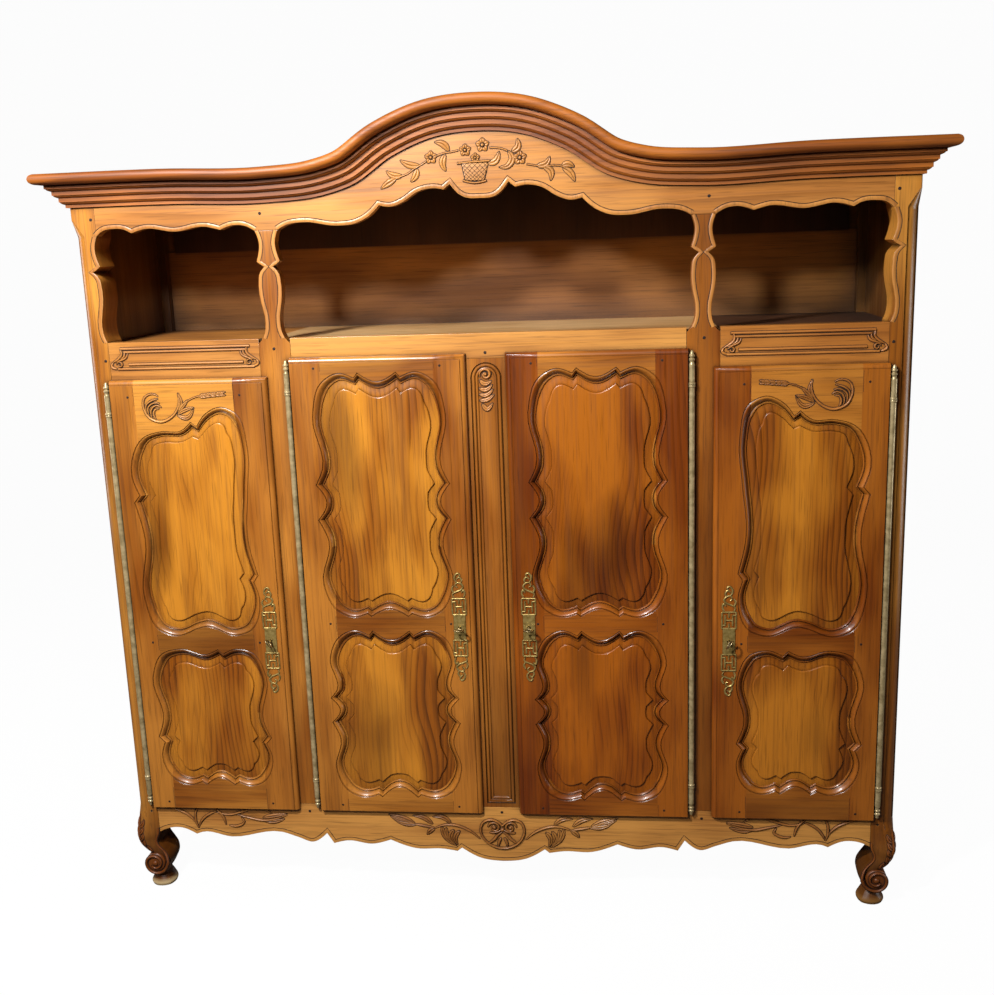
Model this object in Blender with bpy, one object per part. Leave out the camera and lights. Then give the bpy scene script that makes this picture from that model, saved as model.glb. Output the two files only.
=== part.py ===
# Country buffet hutch: four cupboard doors below, three open niches above, an arched cornice on top.
# Metres, +Z up, front towards -Y, origin on the floor in the middle of the overall box.

import math

import bmesh
import bpy
from mathutils import Vector
from mathutils.geometry import tessellate_polygon

# Fits
GAP = 0.0003                # between pieces that touch
DOOR_CLEARANCE = 0.003      # between a door's inner step and its doorway
PIN_CLEARANCE = 0.0004      # between a hinge pin and the bore of its barrel

# Case, across, from the outside to the middle
POST_WIDTH = 0.060
OUTER_DOORWAY_WIDTH = 0.386
INNER_STILE_WIDTH = 0.078
INNER_DOORWAY_WIDTH = 0.416
CENTRE_STILE_WIDTH = 0.126

# Case, in depth
CASE_DEPTH = 0.500
POST_DEPTH = 0.085
BACK_POST_SIZE = 0.050
FRAME_THICKNESS = 0.030     # stiles and rails of the front
SIDE_THICKNESS = 0.028
BACK_THICKNESS = 0.018
BACK_RECESS = 0.006         # back panel behind the back posts' faces
BACK_LEDGE = 0.005          # topmost board of the back is this much thinner

# Case, upwards
APRON_TOP = 0.249
OUTER_DOORWAY_HEIGHT = 1.133
INNER_DOORWAY_RISE = 0.045  # inner doorways are this much taller
CARVED_RAIL_HEIGHT = 0.105
NICHE_HEIGHT = 0.258
FRIEZE_END_HEIGHT = 0.070
BACK_LEDGE_HEIGHT = 0.213   # ledge in the back above the niche's sill
SIDE_BOTTOM = 0.162         # lower edge of the side frames and of the back

# Cornice
CORNICE_HEIGHT = 0.079
CORNICE_REACH = 0.067
ARCH_RISE = 0.141
ARCH_HALF_WIDTH = 0.500
ARCH_DIP = 0.005            # the cornice dips before it rises
CORNICE_STEPS = 2           # facets between two points of the arch
FRIEZE_STEP = 0.004         # frieze and posts stop this far below the cornice's top

# Boards
BOARD_THICKNESS = 0.020
SHELF_THICKNESS = 0.022
SHELF_HEIGHT = 0.802
SHELF_SETBACK = 0.105       # shelf edge behind the front
SILL_LIP = 0.006            # niche board below the rails' top
TOP_BOARD_DROP = 0.020      # top board below the side frames' top

# Niche edges and corner moulding
NICHE_INSET = 0.011         # inner stiles are this much slimmer on each side beside the niches
CORNER_MOULDING = 0.030
CORNER_FILLET = 0.004
CORNER_STOP = 0.022         # length of the moulding's run-out at the foot
CORNER_RUN = 0.040          # the same at its head
POST_ROUNDING = 0.004       # outer corner where it isn't moulded
POST_EASING = 0.001         # other corners
FOOT_HEIGHT = 0.206
FOOT_ROUNDING = 0.026       # outer corner of the foot
FOOT_ROUND_SHARE = 0.45     # a foot's corners take at most this share of its width
VOLUTE_RADIUS = 0.029
VOLUTE_NOSE_RADIUS = 0.021
VOLUTE_NOSE_DEPTH = 0.007
VOLUTE_LENGTH = 0.045
VOLUTE_INSET = 0.043        # volute axis inside the post's outer face
VOLUTE_HEIGHT = 0.069
VOLUTE_REACH = 0.017        # volute in front of the post
VOLUTE_SIDES = 16
NICHE_CUT = 0.019           # deepest cut of a niche edge
SIDE_VALANCE_RISE = 0.017
MIDDLE_VALANCE_RISE = 0.090
APRON_DROP = 0.156

# Sunk panels of the case
CENTRE_PANEL_MARGIN = 0.010  # inside the doors' lips and the stile's ends
CENTRE_PANEL_FACETS = 8     # in its round head
CARTOUCHE_MARGIN = 0.012    # inside the rail's ends
CARTOUCHE_END = 0.030       # length of its shaped ends
CARTOUCHE_BELOW = 0.034
CARTOUCHE_ABOVE = 0.016
SIDE_STILE = 0.055
SIDE_RAIL = 0.090

# Doors
DOOR_PROUD = 0.014
DOOR_STEP_DEPTH = 0.016     # inner step behind the front frame's face
DOOR_LIP = 0.015            # overlap on the closing side
DOOR_END_LIP = 0.012        # overlap at top and bottom
HINGE_LIP = 0.0035          # overlap on the hinge side
OUTER_FREE_STILE = 0.059
OUTER_HINGE_STILE = 0.0345
OUTER_BOTTOM_RAIL = 0.066
OUTER_LOWER_PANEL = 0.388
OUTER_MIDDLE_RAIL = 0.033
OUTER_TOP_RAIL = 0.070
INNER_FREE_STILE = 0.048
INNER_HINGE_STILE = 0.0465
INNER_BOTTOM_RAIL = 0.039
INNER_LOWER_PANEL = 0.467
INNER_MIDDLE_RAIL = 0.032
INNER_TOP_RAIL = 0.038

# Door mouldings and panels
GROOVE_MARGIN = 0.002       # groove beyond the shaped opening
GROOVE_DEPTH = 0.012        # groove behind the door's face
GROOVE_WIDTH = 0.010
BACK_LIP = 0.010            # frame behind the groove covers this much of the panel
FIELD_MARGIN = 0.039        # raised field inside the shaped opening
FIELD_SLOPE = 0.005
FIELD_RISE = 0.0065
FULL_PULL = 0.9             # share of an opening's half size from which its inner lines keep the whole margin
OUTLINE_STEPS = 2           # facets between two points of a shaped outline

# Hinges
BARREL_RADIUS = 0.007
COLLAR_RADIUS = 0.0085
COLLAR_HEIGHT = 0.005
PIN_RADIUS = 0.004
KNUCKLE_LENGTH = 0.082
FINIAL_LENGTH = 0.034
HINGE_END_DROP = 0.004      # hinge tips inside the door's ends
HINGE_SIDES = 10

# Locks
OUTER_LOCK_HEIGHT = 0.477   # key above the door's lower edge
INNER_LOCK_HEIGHT = 0.513
LOCK_INSET = 0.040          # key inside the door's closing edge
PLATE_LENGTH = 0.289
PLATE_WIDTH = 0.038
PLATE_THICKNESS = 0.002
KEYHOLE_RADIUS = 0.0042
KEYHOLE_SIDES = 8
LOCK_CASE_WIDTH = 0.070
LOCK_CASE_BELOW = 0.022
LOCK_CASE_ABOVE = 0.034
LOCK_CASE_DEPTH = 0.016
LOCK_CASE_WALL = 0.002
BOLT_HEIGHT = 0.014
BOLT_THICKNESS = 0.008
BOLT_LENGTH = 0.052
BOLT_RISE = 0.014           # lower edge of the bolt above the key
BOLT_TRAVEL = 0.012
POCKET_ROOM = 0.002         # room round the bolt in its pocket
KEY_RADIUS = 0.003
KEY_SIDES = 10
KEY_STANDOUT = 0.014        # shank between plate and bow
BOW_WIDTH = 0.028
BOW_LENGTH = 0.020
BOW_BAR = 0.005
BOW_THICKNESS = 0.0034
BOW_SIDES = 14
OUTER_KEY_LEAN = math.radians(52)
BIT_LENGTH = 0.009
BIT_WIDTH = 0.003
BIT_DEPTH = 0.007

SMOOTH_ANGLE = math.radians(40)
SHARPEST_MITRE = 0.5        # an inner line runs at most twice its distance out into a corner
CUSP = True

# Faces that many pieces share
HALF_WIDTH = (POST_WIDTH + OUTER_DOORWAY_WIDTH + INNER_STILE_WIDTH + INNER_DOORWAY_WIDTH
              + CENTRE_STILE_WIDTH / 2)
FRONT = (CORNICE_REACH - CASE_DEPTH) / 2
BACK = FRONT + CASE_DEPTH
FRAME_BACK = FRONT + FRAME_THICKNESS
POST_INSIDE = HALF_WIDTH - POST_WIDTH
INNER_STILE_OUTSIDE = POST_INSIDE - OUTER_DOORWAY_WIDTH
INNER_STILE_INSIDE = INNER_STILE_OUTSIDE - INNER_STILE_WIDTH
CENTRE_STILE_EDGE = CENTRE_STILE_WIDTH / 2
OUTER_DOORWAY_TOP = APRON_TOP + OUTER_DOORWAY_HEIGHT
INNER_DOORWAY_TOP = OUTER_DOORWAY_TOP + INNER_DOORWAY_RISE
SILL = OUTER_DOORWAY_TOP + CARVED_RAIL_HEIGHT
FRIEZE_JOINT = SILL + NICHE_HEIGHT
CORNICE_LINE = FRIEZE_JOINT + FRIEZE_END_HEIGHT
CASE_TOP = CORNICE_LINE + CORNICE_HEIGHT - FRIEZE_STEP
BACK_FACE = BACK - BACK_RECESS - BACK_THICKNESS
SIDE_INSIDE = HALF_WIDTH - SIDE_THICKNESS
DOOR_FRONT = FRONT - DOOR_PROUD
DOOR_BACK = FRONT + DOOR_STEP_DEPTH
HINGE_Y = FRONT - COLLAR_RADIUS - GAP

# Outlines as shares of the space that they fill. A point marked CUSP keeps a sharp corner.
# Half outline of the cornice: share of the arch's half width, share of its rise
ARCH = ((0, 1), (0.2, 0.933), (0.4, 0.667), (0.6, 0.227), (0.75, 0.075), (1, 0))
# Section of the cornice: share of its reach, share of its height, from the bottom up
CORNICE_SECTION = ((0.10, 0.00), (0.10, 0.08), (0.19, 0.10), (0.22, 0.18), (0.31, 0.24), (0.34, 0.30),
                   (0.46, 0.34), (0.58, 0.44), (0.63, 0.55), (0.63, 0.68), (0.85, 0.70), (0.96, 0.76),
                   (1.00, 0.85), (0.96, 0.94), (0.85, 1.00))
# Lower edge of the frieze over a side niche: share of its width, share of its rise above the joint
SIDE_VALANCE = ((0, 0), (0.03, 0.59), (0.11, 1), (0.18, 0.82), (0.224, 0.29, CUSP), (0.31, 0.82),
                (0.50, 0.29), (0.69, 0.82), (0.785, 0.29, CUSP), (0.87, 0.88), (0.95, 0.65), (1, 0))
# The same over the middle niche, from the middle to the side
MIDDLE_VALANCE = ((0, 0.622), (0.10, 0.744), (0.141, 1, CUSP), (0.172, 0.867, CUSP), (0.22, 0.911),
                  (0.30, 0.833), (0.37, 0.60), (0.43, 0.489), (0.489, 0.533, CUSP), (0.535, 0.30),
                  (0.61, 0.10), (0.70, 0.056), (0.87, 0.178), (0.96, 0.111), (1, 0))
# Shaped niche edge: share of the niche's height, share of the deepest cut
NICHE_EDGE = ((0, 0), (0.055, 0.32), (0.15, 0.5), (0.41, 0), (0.52, 0), (0.62, 0.32), (0.67, 1, CUSP),
              (0.72, -0.05, CUSP), (0.80, 0.29), (0.89, 0.42), (1, 0))
# Lower edge of the apron, from the middle to the side: share of its half width, share of its drop
APRON = ((0, 1), (0.064, 0.949), (0.117, 0.769, CUSP), (0.130, 0.833, CUSP), (0.17, 0.795), (0.25, 0.795),
         (0.32, 0.647, CUSP), (0.371, 0.731), (0.445, 0.679), (0.485, 0.737, CUSP), (0.504, 0.551, CUSP),
         (0.546, 0.718), (0.589, 0.635), (0.635, 0.545), (0.785, 0.654), (0.872, 0.577), (0.889, 0.615, CUSP),
         (0.933, 0.50), (0.97, 0.513), (1, 0.59))
# Half outline of the cartouche on a carved rail: share of its shaped end, share of its height
CARTOUCHE = ((1, 1), (0.5, 0.78), (0, 0.27), (0.27, 0))
# Shaped openings of the doors: share of the half width towards the closing edge, share of the height
INNER_UPPER = ((0, 0.965), (0.28, 1.0, CUSP), (0.34, 0.981, CUSP), (0.56, 1.0), (0.82, 0.965), (0.982, 0.83),
               (0.888, 0.62), (1, 0.554, CUSP), (0.855, 0.482), (1, 0.410, CUSP), (0.865, 0.325),
               (0.988, 0.147), (0.80, 0.028), (0.56, 0), (0.34, 0.015, CUSP), (0.28, 0.003, CUSP), (0, 0.035))
INNER_LOWER = ((0, 0.944), (0.28, 0.997, CUSP), (0.34, 0.970, CUSP), (0.56, 1.0), (0.82, 0.955), (0.97, 0.83),
               (0.894, 0.65), (1, 0.600, CUSP), (0.865, 0.527), (1, 0.456, CUSP), (0.888, 0.355),
               (0.988, 0.184), (0.82, 0.038), (0.56, 0), (0.335, 0.019, CUSP), (0.28, 0.004, CUSP), (0, 0.068))
OUTER_UPPER = ((0.588, 1.0), (0.85, 0.972), (0.993, 0.83), (0.942, 0.638), (0.878, 0.43), (1.0, 0.273, CUSP),
               (0.92, 0.243, CUSP), (0.993, 0.165), (0.80, 0.025), (0.524, 0.002), (0.042, 0.042),
               (-0.183, 0.027, CUSP), (-0.486, 0), (-0.80, 0.027), (-1.0, 0.172), (-0.884, 0.438),
               (-1.0, 0.597, CUSP), (-0.90, 0.627, CUSP), (-1.0, 0.715), (-0.73, 0.878), (-0.42, 0.902),
               (-0.10, 0.903), (0.08, 0.94, CUSP), (0.175, 0.92, CUSP), (0.31, 0.967))
OUTER_LOWER = ((-0.44, 1.0), (-0.02, 0.961), (0.19, 0.997, CUSP), (0.273, 0.964, CUSP), (0.49, 1.0),
               (0.80, 0.970), (1.0, 0.79), (0.884, 0.487), (1.0, 0.358, CUSP), (0.91, 0.317, CUSP),
               (0.993, 0.216), (0.80, 0.030), (0.57, 0), (0.36, 0.026, CUSP), (0.28, 0.005, CUSP),
               (0.03, 0.057), (-0.215, 0.005, CUSP), (-0.30, 0.026, CUSP), (-0.50, 0), (-0.77, 0.035),
               (-0.975, 0.216), (-0.904, 0.317, CUSP), (-1.0, 0.358, CUSP), (-0.89, 0.487), (-1.0, 0.79),
               (-0.80, 0.962))
# Front foot, from the floor up: height, wood added to the post outside, inside, in front, in front at the inner
# edge and behind, and how round its inner corners are, from 0 for square to 1
FOOT = ((0.000, -0.020, 0.024, 0.010, 0.010, -0.028, 1), (0.010, -0.018, 0.026, 0.012, 0.012, -0.026, 1),
        (0.024, -0.026, 0.017, 0.005, 0.005, -0.030, 0.9), (0.038, -0.034, 0.010, -0.002, -0.002, -0.034, 0.8),
        (0.052, -0.036, 0.018, -0.004, -0.004, -0.020, 0.5), (0.070, -0.036, 0.023, 0.000, 0.000, -0.012, 0.35),
        (0.088, -0.030, 0.019, 0.004, 0.002, -0.006, 0.3), (0.104, -0.017, 0.008, 0.008, 0.003, -0.003, 0.25),
        (0.120, -0.008, -0.006, 0.012, 0.003, 0.000, 0.2), (0.134, -0.002, -0.009, 0.014, 0.002, 0.000, 0.15),
        (0.152, 0.003, -0.002, 0.015, 0.001, 0.000, 0.1), (FOOT_HEIGHT, 0.000, 0.000, 0.002, 0.000, 0.000, 0.1))
# Mouldings, from their outer edge inwards: distance in, depth below the face
DOOR_EDGE = ((0.014, 0), (0.0132, 0.002), (0.006, 0.003), (0, 0.010))
DOOR_MOULDING = ((0, 0), (0.011, 0.009), (0.0152, 0.0072), (0.020, GROOVE_DEPTH))
CENTRE_REEDS = ((0, 0), (0.0016, 0.0036), (0.007, 0.0003), (0.0114, 0.0042), (0.016, 0.002), (0.019, 0.0052))
CARTOUCHE_REEDS = ((0, 0), (0.003, 0.003), (0.010, 0), (0.013, 0.004))
SIDE_PANEL = ((0, 0), (0.010, 0.006), (0.012, 0.010), (0.045, 0.010), (0.055, 0.005))
# Half outline of the lock plate: share of its half width, share of its half length
PLATE = ((0.0, 1.0), (0.42, 0.94), (0.22, 0.86), (0.84, 0.70), (0.62, 0.56, CUSP), (1.0, 0.52, CUSP),
         (1.0, 0.24, CUSP), (0.80, 0.20, CUSP), (0.80, 0.0))
# Frets on each side of the keyhole: near and far end as shares of the half length, share of the half width
PLATE_FRETS = ((0.27, 0.37, 0.66), (0.41, 0.49, 0.66), (0.60, 0.80, 0.34))
# Turned finial of a hinge pin, from the tip inwards: share of its length, share of the barrel's radius
FINIAL = ((0, 0.15), (0.26, 0.62), (0.34, 1.0), (0.46, 1.0), (0.53, 0.70), (0.65, 1.0),
          (0.80, 0.75), (1.0, 1.0))


def smooth_curve(points, steps, closed=False):
    # Points on a curve through the given ones, each stretch a cubic that bends freely towards a cusp
    places = [Vector(point[:2]) for point in points]
    sharp = [len(point) > 2 for point in points]
    count = len(places)
    if not closed:
        sharp[0] = True
        sharp[-1] = True

    def slope(index):
        before = places[index] - places[index - 1]
        after = places[(index + 1) % count] - places[index]
        near = before.length
        far = after.length
        return (before * (far / near) + after * (near / far)) / (near + far)

    result = []
    for index in range(count if closed else count - 1):
        start = places[index]
        after = (index + 1) % count
        chord = places[after] - start
        leave = chord if sharp[index] else slope(index) * chord.length
        arrive = chord if sharp[after] else slope(after) * chord.length
        if sharp[index] and not sharp[after]:
            leave = chord * 1.5 - arrive * 0.5
        if sharp[after] and not sharp[index]:
            arrive = chord * 1.5 - leave * 0.5
        # a stretch between two cusps is straight
        pieces = 1 if sharp[index] and sharp[after] else steps
        for step in range(pieces):
            t = step / pieces
            result.append(start + leave * t + (chord * 3 - leave * 2 - arrive) * t ** 2
                          + (leave + arrive - chord * 2) * t ** 3)
    if not closed:
        result.append(places[-1])
    return [tuple(point) for point in result]


def mirrored_half(half):
    # Whole outline from a half one that starts and ends on the middle line
    return list(half) + [(-point[0],) + tuple(point[1:]) for point in reversed(half[1:-1])]


def parallel(loop, distance):
    # Loop drawn inwards by a distance, with mitred corners
    area = sum(loop[i - 1][0] * loop[i][1] - loop[i][0] * loop[i - 1][1] for i in range(len(loop)))
    turn = 1 if area > 0 else -1
    result = []
    for index, point in enumerate(loop):
        here = Vector(point)
        before = (here - Vector(loop[index - 1])).normalized()
        after = (Vector(loop[(index + 1) % len(loop)]) - here).normalized()
        first = Vector((-before.y, before.x)) * turn
        second = Vector((-after.y, after.x)) * turn
        middle = (first + second).normalized()
        result.append(tuple(here + middle * (distance / max(middle.dot(first), SHARPEST_MITRE))))
    return result


def drawn_in(loop, centre, half_width, half_height, margin):
    # Loop pulled towards its middle: by the whole margin near the edges and by nothing at the centre
    def pull(share):
        return math.copysign(min(abs(share) / FULL_PULL, 1) ** 3, share) * margin

    return [(x - pull((x - centre[0]) / half_width), z - pull((z - centre[1]) / half_height))
            for x, z in loop]


def rectangle(x0, x1, z0, z1):
    return [(x0, z0), (x1, z0), (x1, z1), (x0, z1)]


def circle(x, z, radius, sides):
    turns = [2 * math.pi * (side + 0.5) / sides for side in range(sides)]
    return [(x + radius * math.cos(turn), z + radius * math.sin(turn)) for turn in turns]


def upright(loop, y):
    return [(x, y, z) for x, z in loop]


def level(loop, z):
    return [(x, y, z) for x, y in loop]


def ring(mesh, points):
    return [mesh.verts.new(point) for point in points]


def wall(mesh, first, second):
    for index in range(len(first)):
        mesh.faces.new((first[index - 1], first[index], second[index], second[index - 1]))


def walls(mesh, rings):
    for first, second in zip(rings, rings[1:]):
        wall(mesh, first, second)


def cover(mesh, *rings):
    # Flat face inside the first ring and outside the others
    corners = [corner for loop in rings for corner in loop]
    for triangle in tessellate_polygon([[corner.co for corner in loop] for loop in rings]):
        mesh.faces.new([corners[index] for index in triangle])


def closed_stack(mesh, loops):
    # Solid through loops of as many points, with flat ends
    rings = [ring(mesh, loop) for loop in loops]
    walls(mesh, rings)
    cover(mesh, rings[0])
    cover(mesh, rings[-1])


def turned(mesh, profile, sides, place):
    # Solid of revolution: profile of (radius, height), placed by a function of (across, away, height)
    loops = []
    for radius, height in profile:
        loops.append([place(across, away, height) for across, away in circle(0, 0, radius, sides)])
    closed_stack(mesh, loops)


def material(name, colour, roughness, metallic=0.0):
    made = bpy.data.materials.new(name)
    made.use_nodes = True
    shader = made.node_tree.nodes["Principled BSDF"]
    shader.inputs["Base Color"].default_value = (*colour, 1)
    shader.inputs["Roughness"].default_value = roughness
    shader.inputs["Metallic"].default_value = metallic
    made.diffuse_color = (*colour, 1)
    return made


def add_piece(name, mesh, finish, side=1, pivot=None, smooth=False):
    # Object from a mesh drawn on the right side, mirrored for the left one, with its origin at its pivot
    origin = pivot.matrix_world.translation if pivot else Vector((0, 0, 0))
    for corner in mesh.verts:
        corner.co.x *= side
        corner.co -= origin
    bmesh.ops.recalc_face_normals(mesh, faces=mesh.faces)
    data = bpy.data.meshes.new(name)
    mesh.to_mesh(data)
    mesh.free()
    data.materials.append(finish)
    if smooth:
        data.shade_smooth()
        data.set_sharp_from_angle(angle=SMOOTH_ANGLE)
    piece = bpy.data.objects.new(name, data)
    bpy.context.collection.objects.link(piece)
    piece.parent = pivot
    return piece


def add_pivot(name, place, parent=None):
    pivot = bpy.data.objects.new(name, None)
    bpy.context.collection.objects.link(pivot)
    pivot.parent = parent
    pivot.location = place
    if parent:
        pivot.location = Vector(place) - parent.matrix_world.translation
    bpy.context.view_layer.update()
    return pivot


def combine(piece, helper, operation):
    helper.hide_render = True
    helper.display_type = "WIRE"
    change = piece.modifiers.new(helper.name, "BOOLEAN")
    change.solver = "EXACT"
    change.operation = operation
    change.object = helper


def block(x0, x1, y0, y1, z0, z1):
    mesh = bmesh.new()
    closed_stack(mesh, [upright(rectangle(x0, x1, z0, z1), y) for y in (y0, y1)])
    return mesh


def slab(outline, y0, y1):
    mesh = bmesh.new()
    closed_stack(mesh, [upright(outline, y) for y in (y0, y1)])
    return mesh


def niche_edge(steps):
    # Points (height, wood added) of a shaped niche edge from the sill to the frieze
    shares = smooth_curve(NICHE_EDGE, steps)
    return [(SILL + NICHE_HEIGHT * share, -NICHE_CUT * cut) for share, cut in shares]


def cornice_path(steps):
    # Lower line of the cornice on the front, from the left corner to the right one
    half = [(share * ARCH_HALF_WIDTH, CORNICE_LINE - ARCH_DIP + rise * ARCH_RISE) for share, rise in ARCH]
    level_end = (HALF_WIDTH + ARCH_HALF_WIDTH) / 2
    half += [(level_end, CORNICE_LINE), (HALF_WIDTH, CORNICE_LINE)]
    whole = [(-x, z) for x, z in reversed(half[1:])] + half
    return smooth_curve(whole, steps)


def raised(path, height):
    # Path moved square to itself; its ends stay upright
    result = []
    for index, (x, z) in enumerate(path):
        before = path[max(index - 1, 0)]
        after = path[min(index + 1, len(path) - 1)]
        along = Vector((after[0] - before[0], after[1] - before[1])).normalized()
        if index in (0, len(path) - 1):
            along = Vector((1, 0))
        result.append((x - along.y * height, z + along.x * height))
    return result


def corner_section(outside, inside, front, inner_front, back, rounding, easing, moulded):
    # Plan of a post: its outer corner is rounded off, or moulded as a quarter round between two fillets
    if moulded:
        start = outside - CORNER_MOULDING
        end = front + CORNER_MOULDING
        radius = CORNER_MOULDING - CORNER_FILLET
        loop = [(start, front), (start, front + CORNER_FILLET)]
        for turn in (math.pi / 6, math.pi / 3):
            loop.append((start + radius * math.sin(turn), end - radius * math.cos(turn)))
        loop += [(outside - CORNER_FILLET, end), (outside, end)]
    else:
        turns = [math.pi / 10 * step for step in range(6)]
        loop = [(outside - rounding * (1 - math.sin(turn)), front + rounding * (1 - math.cos(turn)))
                for turn in turns]
    loop += [(outside, back - easing), (outside - easing, back)]
    loop += [(inside + easing, back), (inside, back - easing)]
    loop += [(inside, inner_front + easing), (inside + easing, inner_front)]
    return loop


def front_post(name, side):
    # Corner post with its niche edge, moulded corner and foot, as one run of plan sections from the floor up
    back = FRONT + POST_DEPTH
    stations = []
    for height, out, within, forward, inner_forward, behind, round_share in FOOT:
        most = FOOT_ROUND_SHARE * (POST_WIDTH + out + within)
        stations.append((height, HALF_WIDTH + out, POST_INSIDE - within, FRONT - forward, FRONT - inner_forward,
                         back + behind, min(FOOT_ROUNDING, most), round_share * most, False))
    plain = (HALF_WIDTH, POST_INSIDE, FRONT, FRONT, back, POST_ROUNDING, POST_EASING)
    stations.append((FOOT_HEIGHT + CORNER_STOP, *plain, True))
    for height, added in niche_edge(OUTLINE_STEPS):
        stations.append((height, HALF_WIDTH, POST_INSIDE - added, *plain[2:], True))
    stations.append((FRIEZE_JOINT + CORNER_RUN, *plain, False))
    stations.append((CASE_TOP, *plain, False))
    mesh = bmesh.new()
    closed_stack(mesh, [level(corner_section(*plan), height) for height, *plan in stations])
    post = add_piece(name, mesh, WALNUT, side)
    volute = bmesh.new()
    axis_x = HALF_WIDTH - VOLUTE_INSET
    front = FRONT - VOLUTE_REACH
    profile = ((VOLUTE_NOSE_RADIUS, 0), (VOLUTE_RADIUS, VOLUTE_NOSE_DEPTH), (VOLUTE_RADIUS, VOLUTE_LENGTH))
    turned(volute, profile, VOLUTE_SIDES,
           lambda across, up, along: (axis_x + across, front + along, VOLUTE_HEIGHT + up))
    combine(post, add_piece("volute_" + name, volute, WALNUT, side), "UNION")


def bolt_pocket(name, edge, lock_height, facing):
    # Room for a bolt in the edge of a stile; facing is +1 where the doorway lies on the stile's outer side
    low = DOOR_BACK + GAP + LOCK_CASE_WALL - POCKET_ROOM
    bottom = lock_height + BOLT_RISE - POCKET_ROOM
    ends = sorted((edge + facing * POCKET_ROOM, edge - facing * (BOLT_TRAVEL - DOOR_CLEARANCE + POCKET_ROOM)))
    mesh = block(*ends, low, low + BOLT_THICKNESS + 2 * POCKET_ROOM, bottom,
                 bottom + BOLT_HEIGHT + 2 * POCKET_ROOM)
    return lambda side: add_piece(name, mesh, IRON, side)


def inner_stile(name, side):
    # Stile between an outer and an inner door, slimmer and shaped beside the niches
    outer = []
    inner = []
    for height, added in niche_edge(OUTLINE_STEPS):
        outer.append((INNER_STILE_OUTSIDE - NICHE_INSET + added, height))
        inner.append((INNER_STILE_INSIDE + NICHE_INSET - added, height))
    shoulder = SILL - NICHE_INSET
    outline = [(INNER_STILE_INSIDE, APRON_TOP + GAP), (INNER_STILE_OUTSIDE, APRON_TOP + GAP),
               (INNER_STILE_OUTSIDE, shoulder)]
    outline += outer[:-1]
    outline += [(outer[-1][0], FRIEZE_JOINT - GAP), (inner[-1][0], FRIEZE_JOINT - GAP)]
    outline += reversed(inner[:-1])
    outline.append((INNER_STILE_INSIDE, shoulder))
    stile = add_piece(name, slab(outline, FRONT, FRAME_BACK), WALNUT, side)
    pocket = bolt_pocket("pocket_" + name, INNER_STILE_OUTSIDE, door_bottom() + OUTER_LOCK_HEIGHT, 1)
    combine(stile, pocket(side), "DIFFERENCE")


def centre_stile():
    # Stile between the inner doors with a long sunk panel, round at the top, framed by two reeds
    edge = CENTRE_STILE_EDGE
    half = edge - DOOR_LIP - CENTRE_PANEL_MARGIN
    low = APRON_TOP + CENTRE_PANEL_MARGIN
    high = INNER_DOORWAY_TOP - CENTRE_PANEL_MARGIN
    arc = [math.pi * step / CENTRE_PANEL_FACETS for step in range(CENTRE_PANEL_FACETS + 1)]
    outline = [(-half, low), (half, low)]
    outline += [(half * math.cos(turn), high - half + half * math.sin(turn)) for turn in arc]
    mesh = bmesh.new()
    outer = rectangle(-edge, edge, APRON_TOP + GAP, INNER_DOORWAY_TOP - GAP)
    front = ring(mesh, upright(outer, FRONT))
    back = ring(mesh, upright(outer, FRAME_BACK))
    wall(mesh, front, back)
    cover(mesh, back)
    rings = [ring(mesh, upright(parallel(outline, inward), FRONT + depth))
             for inward, depth in CENTRE_REEDS]
    cover(mesh, front, rings[0])
    walls(mesh, rings)
    cover(mesh, rings[-1])
    stile = add_piece("centre_stile", mesh, WALNUT)
    for side, word in SIDES:
        pocket = bolt_pocket("pocket_centre_" + word, edge, door_bottom() + INNER_LOCK_HEIGHT, 1)
        combine(stile, pocket(side), "DIFFERENCE")


def frieze_rail():
    # Rail over the niches: scalloped below, arched above to follow the cornice
    niche_width = OUTER_DOORWAY_WIDTH + NICHE_INSET
    side_curve = smooth_curve(SIDE_VALANCE, OUTLINE_STEPS)
    middle_half = INNER_STILE_INSIDE + NICHE_INSET
    middle = smooth_curve(MIDDLE_VALANCE, OUTLINE_STEPS)
    lower = [(share * middle_half, FRIEZE_JOINT + rise * MIDDLE_VALANCE_RISE) for share, rise in middle]
    outer_start = INNER_STILE_OUTSIDE - NICHE_INSET
    lower += [(outer_start + (1 - share) * niche_width, FRIEZE_JOINT + rise * SIDE_VALANCE_RISE)
              for share, rise in reversed(side_curve)]
    end = POST_INSIDE - GAP
    lower[-1] = (end, FRIEZE_JOINT)
    top_height = CORNICE_HEIGHT - FRIEZE_STEP
    upper = [point for point in raised(cornice_path(CORNICE_STEPS), top_height) if 0 <= point[0] < end]
    right = lower + [(end, CASE_TOP)] + list(reversed(upper))
    outline = right + [(-x, z) for x, z in reversed(right[1:-1])]
    add_piece("frieze_rail", slab(outline, FRONT, FRAME_BACK), WALNUT)


def cornice_loop():
    # Section of the cornice as (reach, height), closed by its flat back
    section = [(CORNICE_REACH * reach, CORNICE_HEIGHT * height) for reach, height in CORNICE_SECTION]
    return [(GAP, 0)] + section + [(GAP, CORNICE_HEIGHT)]


def cornice_front():
    path = cornice_path(CORNICE_STEPS)
    lines = [(reach, raised(path, height)) for reach, height in cornice_loop()]
    loops = []
    for index in range(len(path)):
        mitre = 0
        if index == 0:
            mitre = -1
        if index == len(path) - 1:
            mitre = 1
        # the flat back keeps its corner on the case; the mitre leaves a gap to the side return
        loops.append([(line[index][0] + mitre * (reach - GAP), FRONT - reach, line[index][1])
                      for reach, line in lines])
    mesh = bmesh.new()
    closed_stack(mesh, loops)
    add_piece("cornice_front", mesh, WALNUT, smooth=True)


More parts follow.
